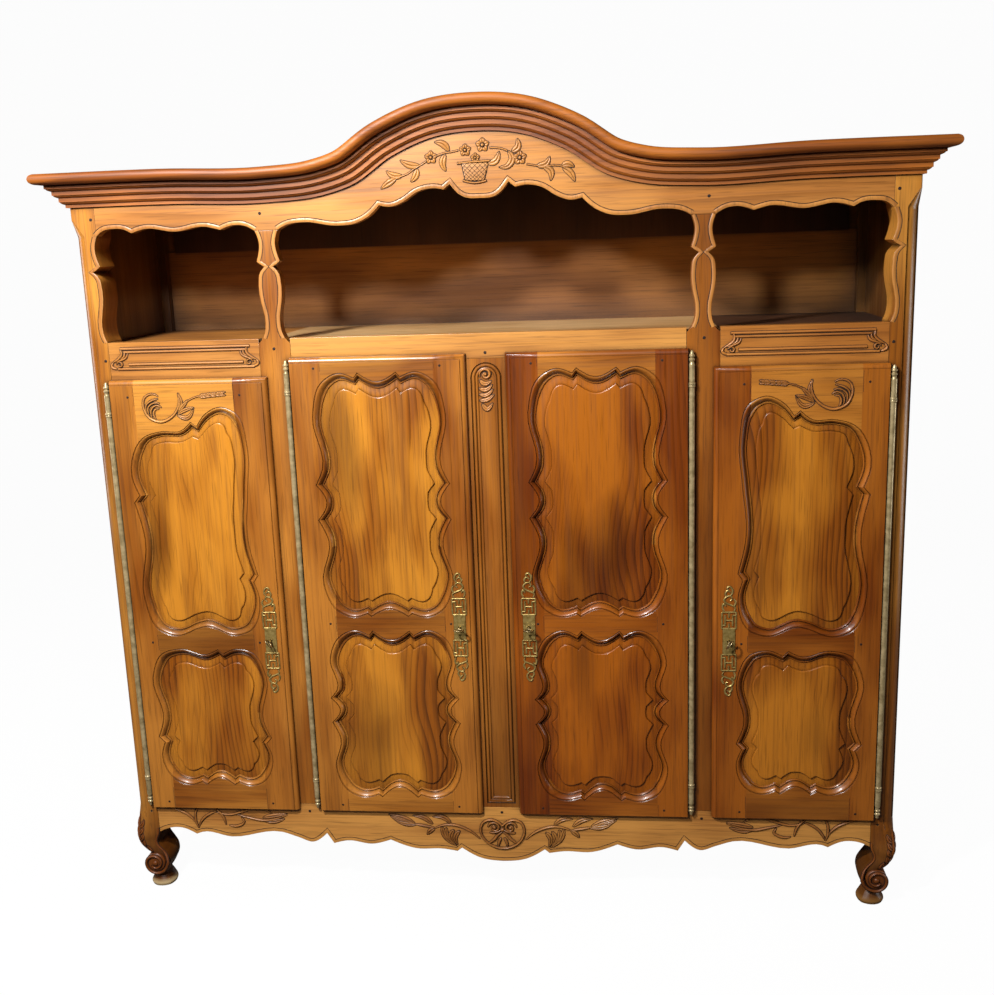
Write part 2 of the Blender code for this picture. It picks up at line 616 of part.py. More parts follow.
def cornice_return(name, side):
    mesh = bmesh.new()
    start = [(HALF_WIDTH + reach, FRONT - reach + GAP, CORNICE_LINE + height)
             for reach, height in cornice_loop()]
    end = [(x, BACK, z) for x, y, z in start]
    closed_stack(mesh, [start, end])
    add_piece(name, mesh, WALNUT, side, smooth=True)


def carved_rail(name, side):
    # Rail under a side niche with a long raised cartouche
    x0 = INNER_STILE_OUTSIDE + GAP
    x1 = POST_INSIDE - GAP
    z0 = OUTER_DOORWAY_TOP
    z1 = SILL
    mesh = bmesh.new()
    outer = rectangle(x0, x1, z0, z1)
    front = ring(mesh, upright(outer, FRONT))
    back = ring(mesh, upright(outer, FRAME_BACK))
    wall(mesh, front, back)
    cover(mesh, back)
    tip = x1 - CARTOUCHE_MARGIN
    low = z0 + CARTOUCHE_BELOW
    height = z1 - CARTOUCHE_ABOVE - low
    half = [(tip - along * CARTOUCHE_END, low + up * height) for along, up in CARTOUCHE]
    outline = half + [(x0 + x1 - x, z) for x, z in reversed(half)]
    rings = [ring(mesh, upright(parallel(outline, inward), FRONT + depth))
             for inward, depth in CARTOUCHE_REEDS]
    cover(mesh, front, rings[0])
    walls(mesh, rings)
    cover(mesh, rings[-1])
    add_piece(name, mesh, WALNUT, side)


def apron_rail():
    end = POST_INSIDE - GAP
    edge = smooth_curve(APRON, OUTLINE_STEPS)
    half = [(share * end, APRON_TOP - APRON_DROP * drop) for share, drop in edge]
    outline = half + [(end, APRON_TOP), (-end, APRON_TOP)] + [(-x, z) for x, z in reversed(half[1:])]
    add_piece("apron_rail", slab(outline, FRONT, FRAME_BACK), WALNUT)


def side_frame(name, side):
    # Side of the case between the posts: a frame with two sunk panels, in one thickness
    y0 = FRONT + POST_DEPTH + GAP
    y1 = BACK - BACK_POST_SIZE - GAP
    split = SILL - SIDE_RAIL
    top = CASE_TOP - CORNICE_HEIGHT - SIDE_RAIL / 2
    mesh = bmesh.new()

    def flat(x, low_y, high_y, low_z, high_z):
        return [(x, y, z) for y, z in rectangle(low_y, high_y, low_z, high_z)]

    outer = ring(mesh, flat(HALF_WIDTH, y0, y1, SIDE_BOTTOM, CASE_TOP))
    inner = ring(mesh, flat(SIDE_INSIDE, y0, y1, SIDE_BOTTOM, CASE_TOP))
    wall(mesh, outer, inner)
    cover(mesh, inner)
    holes = []
    for low, high in ((SIDE_BOTTOM + SIDE_RAIL, split), (split + SIDE_RAIL, top)):
        rings = []
        for inward, depth in SIDE_PANEL:
            ends = (y0 + SIDE_STILE + inward, y1 - SIDE_STILE - inward)
            rings.append(ring(mesh, flat(HALF_WIDTH - depth, *ends, low + inward, high - inward)))
        walls(mesh, rings)
        cover(mesh, rings[-1])
        holes.append(rings[0])
    cover(mesh, outer, *holes)
    add_piece(name, mesh, WALNUT, side)


def back_post(name, side):
    inside = HALF_WIDTH - BACK_POST_SIZE
    front = BACK - BACK_POST_SIZE
    add_piece(name, block(inside, HALF_WIDTH, front, BACK, 0, CASE_TOP), WALNUT, side)


def back_panel():
    # Back of level boards: the topmost is thinner, so the one below it shows a ledge in the niches
    edge = HALF_WIDTH - BACK_POST_SIZE - GAP
    ledge = SILL + BACK_LEDGE_HEIGHT
    behind = BACK_FACE + BACK_THICKNESS
    above = BACK_FACE + BACK_LEDGE
    outline = [(BACK_FACE, SIDE_BOTTOM), (behind, SIDE_BOTTOM), (behind, CASE_TOP), (above, CASE_TOP),
               (above, ledge), (BACK_FACE, ledge)]
    mesh = bmesh.new()
    closed_stack(mesh, [[(x, y, z) for y, z in outline] for x in (-edge, edge)])
    add_piece("back_panel", mesh, INSIDE)


def plan_board(name, front, bottom, thickness):
    # Board across the whole inside, cut round the posts that it meets
    edge = SIDE_INSIDE - GAP
    post = POST_INSIDE - GAP
    post_back = FRONT + POST_DEPTH + GAP
    rear_post = HALF_WIDTH - BACK_POST_SIZE - GAP
    rear = BACK - BACK_POST_SIZE - GAP
    right = [(edge, rear), (rear_post, rear), (rear_post, BACK_FACE - GAP)]
    if front < post_back:
        right = [(post, front), (post, post_back), (edge, post_back)] + right
    else:
        right = [(edge, front)] + right
    outline = right + [(-x, y) for x, y in reversed(right)]
    mesh = bmesh.new()
    closed_stack(mesh, [level(outline, z) for z in (bottom, bottom + thickness)])
    add_piece(name, mesh, INSIDE)


def door_bottom():
    return APRON_TOP - DOOR_END_LIP


def add_lock_plate(name, key_x, key_z, side, hinge):
    # Pierced plate: shaped outline, two fretted windows and the keyhole
    half_width = PLATE_WIDTH / 2
    half_length = PLATE_LENGTH / 2
    quarter = [(x * half_width, z * half_length) for x, z in smooth_curve(PLATE, OUTLINE_STEPS)]
    half = quarter + [(x, -z) for x, z in reversed(quarter[:-1])]
    half = half + [(-x, z) for x, z in reversed(half[1:-1])]
    outline = [(key_x + x, key_z + z) for x, z in half]
    windows = [circle(key_x, key_z, KEYHOLE_RADIUS, KEYHOLE_SIDES)]
    for end in (-1, 1):
        for near, far, wide in PLATE_FRETS:
            low, high = sorted((key_z + end * near * half_length, key_z + end * far * half_length))
            windows.append(rectangle(key_x - wide * half_width, key_x + wide * half_width, low, high))
    front = DOOR_FRONT - GAP - PLATE_THICKNESS
    mesh = bmesh.new()
    faces = []
    for y in (front, DOOR_FRONT - GAP):
        faces.append([ring(mesh, upright(loop, y)) for loop in [outline] + windows])
    for first, second in zip(*faces):
        wall(mesh, first, second)
    for loops in faces:
        cover(mesh, *loops)
    add_piece("lock_plate_" + name, mesh, BRASS, side, hinge)


def add_lock(name, free_step, key_x, key_z, side, hinge):
    # Lock behind the closing stile: case open towards the door, bolt drawn back, key through the plate
    case_front = DOOR_BACK + GAP
    case_back = case_front + LOCK_CASE_DEPTH
    x0 = free_step + GAP
    x1 = x0 + LOCK_CASE_WIDTH
    z0 = key_z - LOCK_CASE_BELOW
    z1 = key_z + LOCK_CASE_ABOVE
    wide = LOCK_CASE_WALL
    mesh = bmesh.new()
    outer = [ring(mesh, upright(rectangle(x0, x1, z0, z1), y)) for y in (case_front, case_back)]
    room = rectangle(x0 + wide, x1 - wide, z0 + wide, z1 - wide)
    inner = [ring(mesh, upright(room, y)) for y in (case_front, case_back - wide)]
    wall(mesh, *outer)
    wall(mesh, *inner)
    cover(mesh, outer[0], inner[0])
    cover(mesh, outer[1])
    cover(mesh, inner[1])
    case = add_piece("lock_case_" + name, mesh, IRON, side, hinge)

    bolt_low = key_z + BOLT_RISE
    bolt_front = case_front + wide
    bolt_size = (bolt_front, bolt_front + BOLT_THICKNESS, bolt_low, bolt_low + BOLT_HEIGHT)
    slot = block(x0 - wide, x0 + 2 * wide, bolt_size[0] - GAP, bolt_size[1] + GAP, bolt_size[2] - GAP,
                 bolt_size[3] + GAP)
    combine(case, add_piece("slot_" + name, slot, IRON, side, hinge), "DIFFERENCE")
    bolt_slide = add_pivot("bolt_slide_" + name, (side * x0, bolt_front, bolt_low), hinge)
    add_piece("lock_bolt_" + name, block(x0 + GAP, x0 + BOLT_LENGTH, *bolt_size), IRON, side, bolt_slide)


def add_key(name, kind, key_x, key_z, side, hinge):
    plate_front = DOOR_FRONT - GAP - PLATE_THICKNESS
    pivot = add_pivot("key_turn_" + name, (side * key_x, plate_front, key_z), hinge)
    shank_front = plate_front - KEY_STANDOUT
    shank_back = DOOR_BACK + LOCK_CASE_DEPTH - LOCK_CASE_WALL - 2 * GAP
    shank = bmesh.new()
    profile = ((KEY_RADIUS, 0), (KEY_RADIUS, shank_back - shank_front))
    turned(shank, profile, KEY_SIDES, lambda a, b, along: (key_x + a, shank_front + along, key_z + b))
    key = add_piece("key_" + name, shank, IRON, side, pivot)
    # flat bow with an oval eye, level on the inner doors and leaning on the outer ones
    lean = {"inner": 0, "outer": OUTER_KEY_LEAN}[kind]
    bow_middle = shank_front - BOW_LENGTH / 2 + BOW_BAR / 2
    oval = []
    turns = [2 * math.pi * step / BOW_SIDES for step in range(BOW_SIDES)]
    for bar in (0, BOW_BAR):
        oval.append([((BOW_WIDTH / 2 - bar) * math.cos(turn), (BOW_LENGTH / 2 - bar) * math.sin(turn))
                     for turn in turns])
    mesh = bmesh.new()
    faces = []
    for up in (-BOW_THICKNESS / 2, BOW_THICKNESS / 2):
        loops = []
        for loop in oval:
            loops.append(ring(mesh, [(key_x + a * math.cos(lean) - up * math.sin(lean), bow_middle + b,
                                      key_z + a * math.sin(lean) + up * math.cos(lean)) for a, b in loop]))
        faces.append(loops)
    for first, second in zip(*faces):
        wall(mesh, first, second)
    for loops in faces:
        cover(mesh, *loops)
    combine(key, add_piece("bow_" + name, mesh, IRON, side, pivot), "UNION")
    bit_back = shank_back - 2 * GAP
    bit = block(key_x - BIT_WIDTH / 2, key_x + BIT_WIDTH / 2, bit_back - BIT_DEPTH, bit_back,
                key_z - KEY_RADIUS - BIT_LENGTH, key_z - KEY_RADIUS / 2)
    combine(key, add_piece("bit_" + name, bit, IRON, side, pivot), "UNION")


def add_hinge(name, axis_x, low, high, side, hinge):
    # Long pin hinge: the pin and its turned ends stay on the post, the barrel turns with the door
    def place(across, away, height):
        return (axis_x + across, HINGE_Y + away, height)

    half = [(radius * BARREL_RADIUS, share * FINIAL_LENGTH) for share, radius in FINIAL]
    collar = KNUCKLE_LENGTH - COLLAR_HEIGHT
    half += [(BARREL_RADIUS, collar), (COLLAR_RADIUS, collar), (COLLAR_RADIUS, KNUCKLE_LENGTH),
             (PIN_RADIUS, KNUCKLE_LENGTH)]
    profile = [(radius, low + up) for radius, up in half]
    profile += [(radius, high - up) for radius, up in reversed(half)]
    mesh = bmesh.new()
    turned(mesh, profile, HINGE_SIDES, place)
    add_piece("hinge_pin_" + name, mesh, BRASS, side, smooth=True)

    bottom = low + KNUCKLE_LENGTH + GAP
    top = high - KNUCKLE_LENGTH - GAP
    bore = PIN_RADIUS / math.cos(math.pi / HINGE_SIDES) + PIN_CLEARANCE
    outside = ((COLLAR_RADIUS, bottom), (COLLAR_RADIUS, bottom + COLLAR_HEIGHT),
               (BARREL_RADIUS, bottom + COLLAR_HEIGHT), (BARREL_RADIUS, top - COLLAR_HEIGHT),
               (COLLAR_RADIUS, top - COLLAR_HEIGHT), (COLLAR_RADIUS, top))
    mesh = bmesh.new()
    rings = []
    for radius, height in outside + ((bore, top), (bore, bottom)):
        rings.append(ring(mesh, [place(a, b, height) for a, b in circle(0, 0, radius, HINGE_SIDES)]))
    walls(mesh, rings + rings[:1])
    add_piece("hinge_barrel_" + name, mesh, BRASS, side, hinge, smooth=True)


def add_panel(name, loop, room, side, hinge):
    # Panel held in the frame's groove, with a raised field that follows the shaped opening
    x0, x1, z0, z1 = room
    centre = ((x0 + x1) / 2, (z0 + z1) / 2)
    half = ((x1 - x0) / 2, (z1 - z0) / 2)
    groove_front = DOOR_FRONT + GROOVE_DEPTH
    front = groove_front + GAP
    back = groove_front + GROOVE_WIDTH - GAP
    edge = GROOVE_MARGIN - GAP
    mesh = bmesh.new()
    outer = rectangle(x0 - edge, x1 + edge, z0 - edge, z1 + edge)
    rim = ring(mesh, upright(outer, front))
    rear = ring(mesh, upright(outer, back))
    wall(mesh, rim, rear)
    cover(mesh, rear)
    field = []
    for margin, rise in ((FIELD_MARGIN, 0), (FIELD_MARGIN + FIELD_SLOPE, FIELD_RISE)):
        field.append(ring(mesh, upright(drawn_in(loop, centre, *half, margin), front - rise)))
    cover(mesh, rim, field[0])
    walls(mesh, field)
    cover(mesh, field[-1])
    add_piece(name, mesh, PANEL, side, hinge)


def add_door(kind, side, word):
    # Lipped door: frame with two shaped openings, panels, hinge and lock
    name = kind + "_" + word
    doorway = {"outer": (INNER_STILE_OUTSIDE, POST_INSIDE, OUTER_DOORWAY_TOP),
               "inner": (CENTRE_STILE_EDGE, INNER_STILE_INSIDE, INNER_DOORWAY_TOP)}[kind]
    rails = {"outer": (OUTER_BOTTOM_RAIL, OUTER_LOWER_PANEL, OUTER_MIDDLE_RAIL, OUTER_TOP_RAIL),
             "inner": (INNER_BOTTOM_RAIL, INNER_LOWER_PANEL, INNER_MIDDLE_RAIL, INNER_TOP_RAIL)}[kind]
    stiles = {"outer": (OUTER_FREE_STILE, OUTER_HINGE_STILE),
              "inner": (INNER_FREE_STILE, INNER_HINGE_STILE)}[kind]
    shapes = {"outer": (OUTER_LOWER, OUTER_UPPER),
              "inner": (mirrored_half(INNER_LOWER), mirrored_half(INNER_UPPER))}[kind]
    lock_height = {"outer": OUTER_LOCK_HEIGHT, "inner": INNER_LOCK_HEIGHT}[kind]
    x0 = doorway[0] - DOOR_LIP
    x1 = doorway[1] + HINGE_LIP
    z0 = door_bottom()
    z1 = doorway[2] + DOOR_END_LIP
    axis_x = x1 + COLLAR_RADIUS + GAP
    hinge = add_pivot("hinge_" + name, (side * axis_x, HINGE_Y, z0))
    key_x = x0 + LOCK_INSET
    key_z = z0 + lock_height
    opening_x = (x0 + stiles[0], x1 - stiles[1])
    middle = sum(opening_x) / 2
    half_width = (opening_x[1] - opening_x[0]) / 2
    split = z0 + rails[0] + rails[1]
    openings_z = ((z0 + rails[0], split), (split + rails[2], z1 - rails[3]))

    mesh = bmesh.new()
    step = rectangle(doorway[0] + DOOR_CLEARANCE, doorway[1] - DOOR_CLEARANCE, APRON_TOP + DOOR_CLEARANCE,
                     doorway[2] - DOOR_CLEARANCE)
    outside = []
    for inward, depth in DOOR_EDGE + ((0, DOOR_PROUD - GAP),):
        outside.append(ring(mesh, upright(rectangle(x0 + inward, x1, z0, z1 - inward), DOOR_FRONT + depth)))
    inside = [ring(mesh, upright(step, FRONT - GAP)), ring(mesh, upright(step, DOOR_BACK))]
    walls(mesh, outside)
    walls(mesh, inside)
    cover(mesh, outside[-1], inside[0])
    hole = circle(key_x, key_z, KEYHOLE_RADIUS, KEYHOLE_SIDES)
    keyhole = [ring(mesh, upright(hole, y)) for y in (DOOR_FRONT, DOOR_BACK)]
    wall(mesh, *keyhole)
    front_holes = [keyhole[0]]
    back_holes = [keyhole[1]]
    groove_front = DOOR_FRONT + GROOVE_DEPTH
    groove_back = groove_front + GROOVE_WIDTH
    for shape, (low, high), level_word in zip(shapes, openings_z, ("lower", "upper")):
        tall = high - low
        points = [(middle - across * half_width, low + up * tall, *cusp) for across, up, *cusp in shape]
        loop = smooth_curve(points, OUTLINE_STEPS, closed=True)
        centre = (middle, (low + high) / 2)
        rings = []
        for inward, depth in DOOR_MOULDING:
            line = drawn_in(loop, centre, half_width, tall / 2, inward)
            rings.append(ring(mesh, upright(line, DOOR_FRONT + depth)))
        walls(mesh, rings)
        room = (opening_x[0], opening_x[1], low, high)
        groove = rectangle(room[0] - GROOVE_MARGIN, room[1] + GROOVE_MARGIN, low - GROOVE_MARGIN,
                           high + GROOVE_MARGIN)
        window = rectangle(room[0] + BACK_LIP, room[1] - BACK_LIP, low + BACK_LIP, high - BACK_LIP)
        groove_rings = [ring(mesh, upright(groove, y)) for y in (groove_front, groove_back)]
        window_rings = [ring(mesh, upright(window, y)) for y in (groove_back, DOOR_BACK)]
        wall(mesh, *groove_rings)
        wall(mesh, *window_rings)
        cover(mesh, groove_rings[0], rings[-1])
        cover(mesh, groove_rings[1], window_rings[0])
        front_holes.append(rings[0])
        back_holes.append(window_rings[1])
        add_panel(level_word + "_panel_" + name, loop, room, side, hinge)
    cover(mesh, outside[0], *front_holes)
    cover(mesh, inside[1], *back_holes)
    add_piece("door_frame_" + name, mesh, WALNUT, side, hinge)

    add_hinge(name, axis_x, z0 + HINGE_END_DROP, z1 - HINGE_END_DROP, side, hinge)
    add_lock_plate(name, key_x, key_z, side, hinge)
    add_lock(name, doorway[0] + DOOR_CLEARANCE, key_x, key_z, side, hinge)
    add_key(name, kind, key_x, key_z, side, hinge)


for old in list(bpy.data.objects):
    bpy.data.objects.remove(old)

WALNUT = material("waxed_walnut", (0.36, 0.15, 0.045), 0.32)
PANEL = material("waxed_walnut_panel", (0.33, 0.13, 0.035), 0.30)
INSIDE = material("plain_walnut", (0.22, 0.10, 0.04), 0.55)
BRASS = material("aged_brass", (0.46, 0.38, 0.22), 0.42, 1.0)
IRON = material("blued_iron", (0.16, 0.15, 0.14), 0.45, 1.0)
SIDES = ((-1, "left"), (1, "right"))

frieze_rail()
cornice_front()
centre_stile()
apron_rail()
back_panel()
middle_end = INNER_STILE_INSIDE - GAP
add_piece("middle_rail", block(-middle_end, middle_end, FRONT, FRAME_BACK, INNER_DOORWAY_TOP, SILL), WALNUT)
behind_frame = FRAME_BACK + GAP
plan_board("bottom_board", behind_frame, APRON_TOP - SILL_LIP - BOARD_THICKNESS, BOARD_THICKNESS)
plan_board("cupboard_shelf", FRONT + SHELF_SETBACK, SHELF_HEIGHT, SHELF_THICKNESS)
plan_board("niche_board", behind_frame, SILL - SILL_LIP - BOARD_THICKNESS, BOARD_THICKNESS)
plan_board("top_board", behind_frame, CASE_TOP - TOP_BOARD_DROP - BOARD_THICKNESS, BOARD_THICKNESS)
for side, word in SIDES:
    front_post("front_post_" + word, side)
    inner_stile("inner_stile_" + word, side)
    carved_rail("carved_rail_" + word, side)
    side_frame("side_frame_" + word, side)
    back_post("back_post_" + word, side)
    cornice_return("cornice_return_" + word, side)
    for kind in ("outer", "inner"):
        add_door(kind, side, word)
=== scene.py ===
import math

import bmesh
import bpy
from mathutils import Matrix, Vector
from mathutils.geometry import tessellate_polygon


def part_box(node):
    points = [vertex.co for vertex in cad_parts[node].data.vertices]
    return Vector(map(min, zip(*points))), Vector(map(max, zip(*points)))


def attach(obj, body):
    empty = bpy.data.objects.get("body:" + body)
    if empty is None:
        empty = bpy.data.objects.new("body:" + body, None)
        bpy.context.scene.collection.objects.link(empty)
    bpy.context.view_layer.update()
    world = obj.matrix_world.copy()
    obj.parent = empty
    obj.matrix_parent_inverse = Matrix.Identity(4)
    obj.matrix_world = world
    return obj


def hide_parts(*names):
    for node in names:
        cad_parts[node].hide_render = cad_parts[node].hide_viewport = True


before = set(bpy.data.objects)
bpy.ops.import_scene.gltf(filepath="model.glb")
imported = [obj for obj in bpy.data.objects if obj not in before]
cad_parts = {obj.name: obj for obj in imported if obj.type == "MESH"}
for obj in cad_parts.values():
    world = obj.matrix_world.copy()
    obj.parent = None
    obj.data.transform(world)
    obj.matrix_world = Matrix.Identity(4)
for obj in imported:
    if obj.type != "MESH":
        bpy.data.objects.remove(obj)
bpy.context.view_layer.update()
print("frame loaded:", len(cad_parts), "nodes")

mm = 0.001
fit = 0.3 * mm  # play between pieces that touch
sides = ((-1, "left"), (1, "right"))
# name, kind and side of each door; everything is drawn on the right half and mirrored
doorList = [(kind + "_" + word, kind, side) for kind in ("outer", "inner") for side, word in sides]


# places taken from the frame
def low(node):
    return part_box(node)[0]


def high(node):
    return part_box(node)[1]


def middleOf(node, axis):
    return (low(node)[axis] + high(node)[axis]) / 2


boxRoom = {"tall": 0.1 * mm, "reach": 0.05 * mm}  # the cornice stays this far inside the solids' box
frontY = low("carved_rail_right")[1]
railBack = high("carved_rail_right")[1]
caseHalf = high("back_post_right")[0]
postInside = high("carved_rail_right")[0] + fit
postBack = low("side_frame_right")[1] - fit
stileOutside = low("carved_rail_right")[0] - fit
stileInside = high("middle_rail")[0] + fit
sillZ = high("carved_rail_right")[2]
jointZ = high("inner_stile_right")[2] + fit
apronTop = high("apron_rail")[2]
caseTop = high("front_post_right")[2]
corniceLow = low("cornice_return_right")[2]
corniceTall = high("cornice_return_right")[2] - corniceLow - boxRoom["tall"]
corniceReach = high("cornice_return_right")[0] - caseHalf - boxRoom["reach"]
caseBack = high("back_post_right")[1]


# curves
def smoothCurve(points, steps, closed=False):
    # a third value marks a corner, where the curve bends freely
    places = [Vector(point[:2]) for point in points]
    corner = [len(point) > 2 for point in points]
    count = len(places)
    if not closed:
        corner[0] = corner[-1] = True

    def slope(index):
        before = places[index] - places[index - 1]
        after = places[(index + 1) % count] - places[index]
        near, far = before.length, after.length
        return (before * (far / near) + after * (near / far)) / (near + far)

    result = []
    for index in range(count if closed else count - 1):
        start, after = places[index], (index + 1) % count
        chord = places[after] - start
        leave = chord if corner[index] else slope(index) * chord.length
        arrive = chord if corner[after] else slope(after) * chord.length
        if corner[index] and not corner[after]:
            leave = chord * 1.5 - arrive * 0.5
        if corner[after] and not corner[index]:
            arrive = chord * 1.5 - leave * 0.5
        for step in range(steps):
            t = step / steps
            result.append(start + leave * t + (chord * 3 - leave * 2 - arrive) * t ** 2
                          + (leave + arrive - chord * 2) * t ** 3)
    if not closed:
        result.append(places[-1])
    return [tuple(point) for point in result]


def mirroredHalf(half):
    return list(half) + [(-point[0],) + tuple(point[1:]) for point in reversed(half[1:-1])]


leastMitre = 0.6  # keeps the mitres of sharp turns short


def beside(path, distance, closed=False):
    # path moved square to itself, to its left
    result = []
    for index, point in enumerate(path):
        here = Vector(point)
        last, following = path[index - 1], path[(index + 1) % len(path)]
        before = here - Vector(last) if closed or index else Vector(following) - here
        after = Vector(following) - here if closed or index < len(path) - 1 else before
        first = Vector((-before.y, before.x)).normalized()
        second = Vector((-after.y, after.x)).normalized()
        middle = (first + second).normalized()
        result.append(tuple(here + middle * (distance / max(middle.dot(first), leastMitre))))
    return result


def inward(loop, distance):
    area = sum(loop[i - 1][0] * loop[i][1] - loop[i][0] * loop[i - 1][1] for i in range(len(loop)))
    return beside(loop, distance if area > 0 else -distance, True)


pullFull, pullPower = 0.9, 3  # share of a half room where the pull is whole, and how late it sets in


def drawnIn(loop, room, margin):
    # loop pulled towards the middle of its room, by the whole margin near the edges
    x0, x1, z0, z1 = room

    def pull(value, a, b):
        share = (value - (a + b) / 2) / ((b - a) / 2)
        return math.copysign(min(abs(share) / pullFull, 1) ** pullPower, share) * margin

    return [(x - pull(x, x0, x1), z - pull(z, z0, z1)) for x, z in loop]


def rectangle(x0, x1, z0, z1):
    return [(x0, z0), (x1, z0), (x1, z1), (x0, z1)]


def circle(x, z, radius, count):
    turns = [2 * math.pi * step / count for step in range(count)]
    return [(x + radius * math.cos(turn), z + radius * math.sin(turn)) for turn in turns]


# meshes: rings of points joined by walls and closed by flat covers
def newMesh():
    mesh = bmesh.new()
    mesh.faces.layers.float.new("crossGrain")
    mesh.faces.layers.float.new("toneAndShade")
    return mesh


def ring(mesh, points):
    return [mesh.verts.new(point) for point in points]


def upright(mesh, loop, y):
    return ring(mesh, [(x, y, z) for x, z in loop])


def wall(mesh, first, second):
    count = len(first)
    for i in range(count):
        j = (i + 1) % count
        mesh.faces.new((first[i], first[j], second[j], second[i]))


def walls(mesh, rings):
    for first, second in zip(rings, rings[1:]):
        wall(mesh, first, second)


def cover(mesh, *rings):
    flat = [vert for loop in rings for vert in loop]
    for corners in tessellate_polygon([[vert.co for vert in loop] for loop in rings]):
        mesh.faces.new([flat[i] for i in corners])


def stack(mesh, rings):
    walls(mesh, rings)
    cover(mesh, rings[0])
    cover(mesh, rings[-1])


leastRadius = 0.02 * mm  # so that a turned end still has a face


def turned(mesh, profile, count, place):
    # turned solid: profile of (radius, along), place(across, up, along)
    stack(mesh, [ring(mesh, [place(a, b, along) for a, b in circle(0, 0, max(radius, leastRadius), count)])
                 for radius, along in profile])


def addPiece(name, mesh, finish, body, stands=(), side=1, toneAndShade=0.5, across=False,
             crease=38):
    # toneAndShade: shade of the timber, 0 deep to 1 pale; on the right half and the doors' top rails it also holds
    # painted shade and painted highlight; across: grain along x; crease: sharper edges stay hard
    toneAndShadeLayer = mesh.faces.layers.float["toneAndShade"]
    crossLayer = mesh.faces.layers.float["crossGrain"]
    for face in mesh.faces:
        if face[toneAndShadeLayer] == 0:
            face[toneAndShadeLayer] = toneAndShade
        if across:
            face[crossLayer] = 1
    for vert in mesh.verts:
        vert.co.x *= side
    bmesh.ops.recalc_face_normals(mesh, faces=mesh.faces)
    data = bpy.data.meshes.new(name)
    mesh.to_mesh(data)
    mesh.free()
    data.shade_smooth()
    data.set_sharp_from_angle(angle=math.radians(crease))
    data.materials.append(finish)
    piece = bpy.data.objects.new(name, data)
    bpy.context.scene.collection.objects.link(piece)
    modifier = piece.modifiers.new("evenShade", "WEIGHTED_NORMAL")
    modifier.keep_sharp = True
    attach(piece, body)
    if stands:
        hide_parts(*stands)
    return piece


# materials
def hexColor(code):
    values = [int(code[i:i + 2], 16) / 255 for i in (1, 3, 5)]
    return [v / 12.92 if v <= 0.04045 else ((v + 0.055) / 1.055) ** 2.4 for v in values] + [1]


def addNode(tree, kind, settings=None, links=None):
    node = tree.nodes.new("ShaderNode" + kind)
    for key, value in (settings or {}).items():
        if isinstance(key, int) or key in node.inputs:
            node.inputs[key].default_value = value
        else:
            setattr(node, key, value)
    for socket, source in (links or {}).items():
        tree.links.new(source, node.inputs[socket])
    return node


def newMaterial(name):
    material = bpy.data.materials.new(name)
    material.use_nodes = True
    material.node_tree.nodes.clear()
    return material, material.node_tree


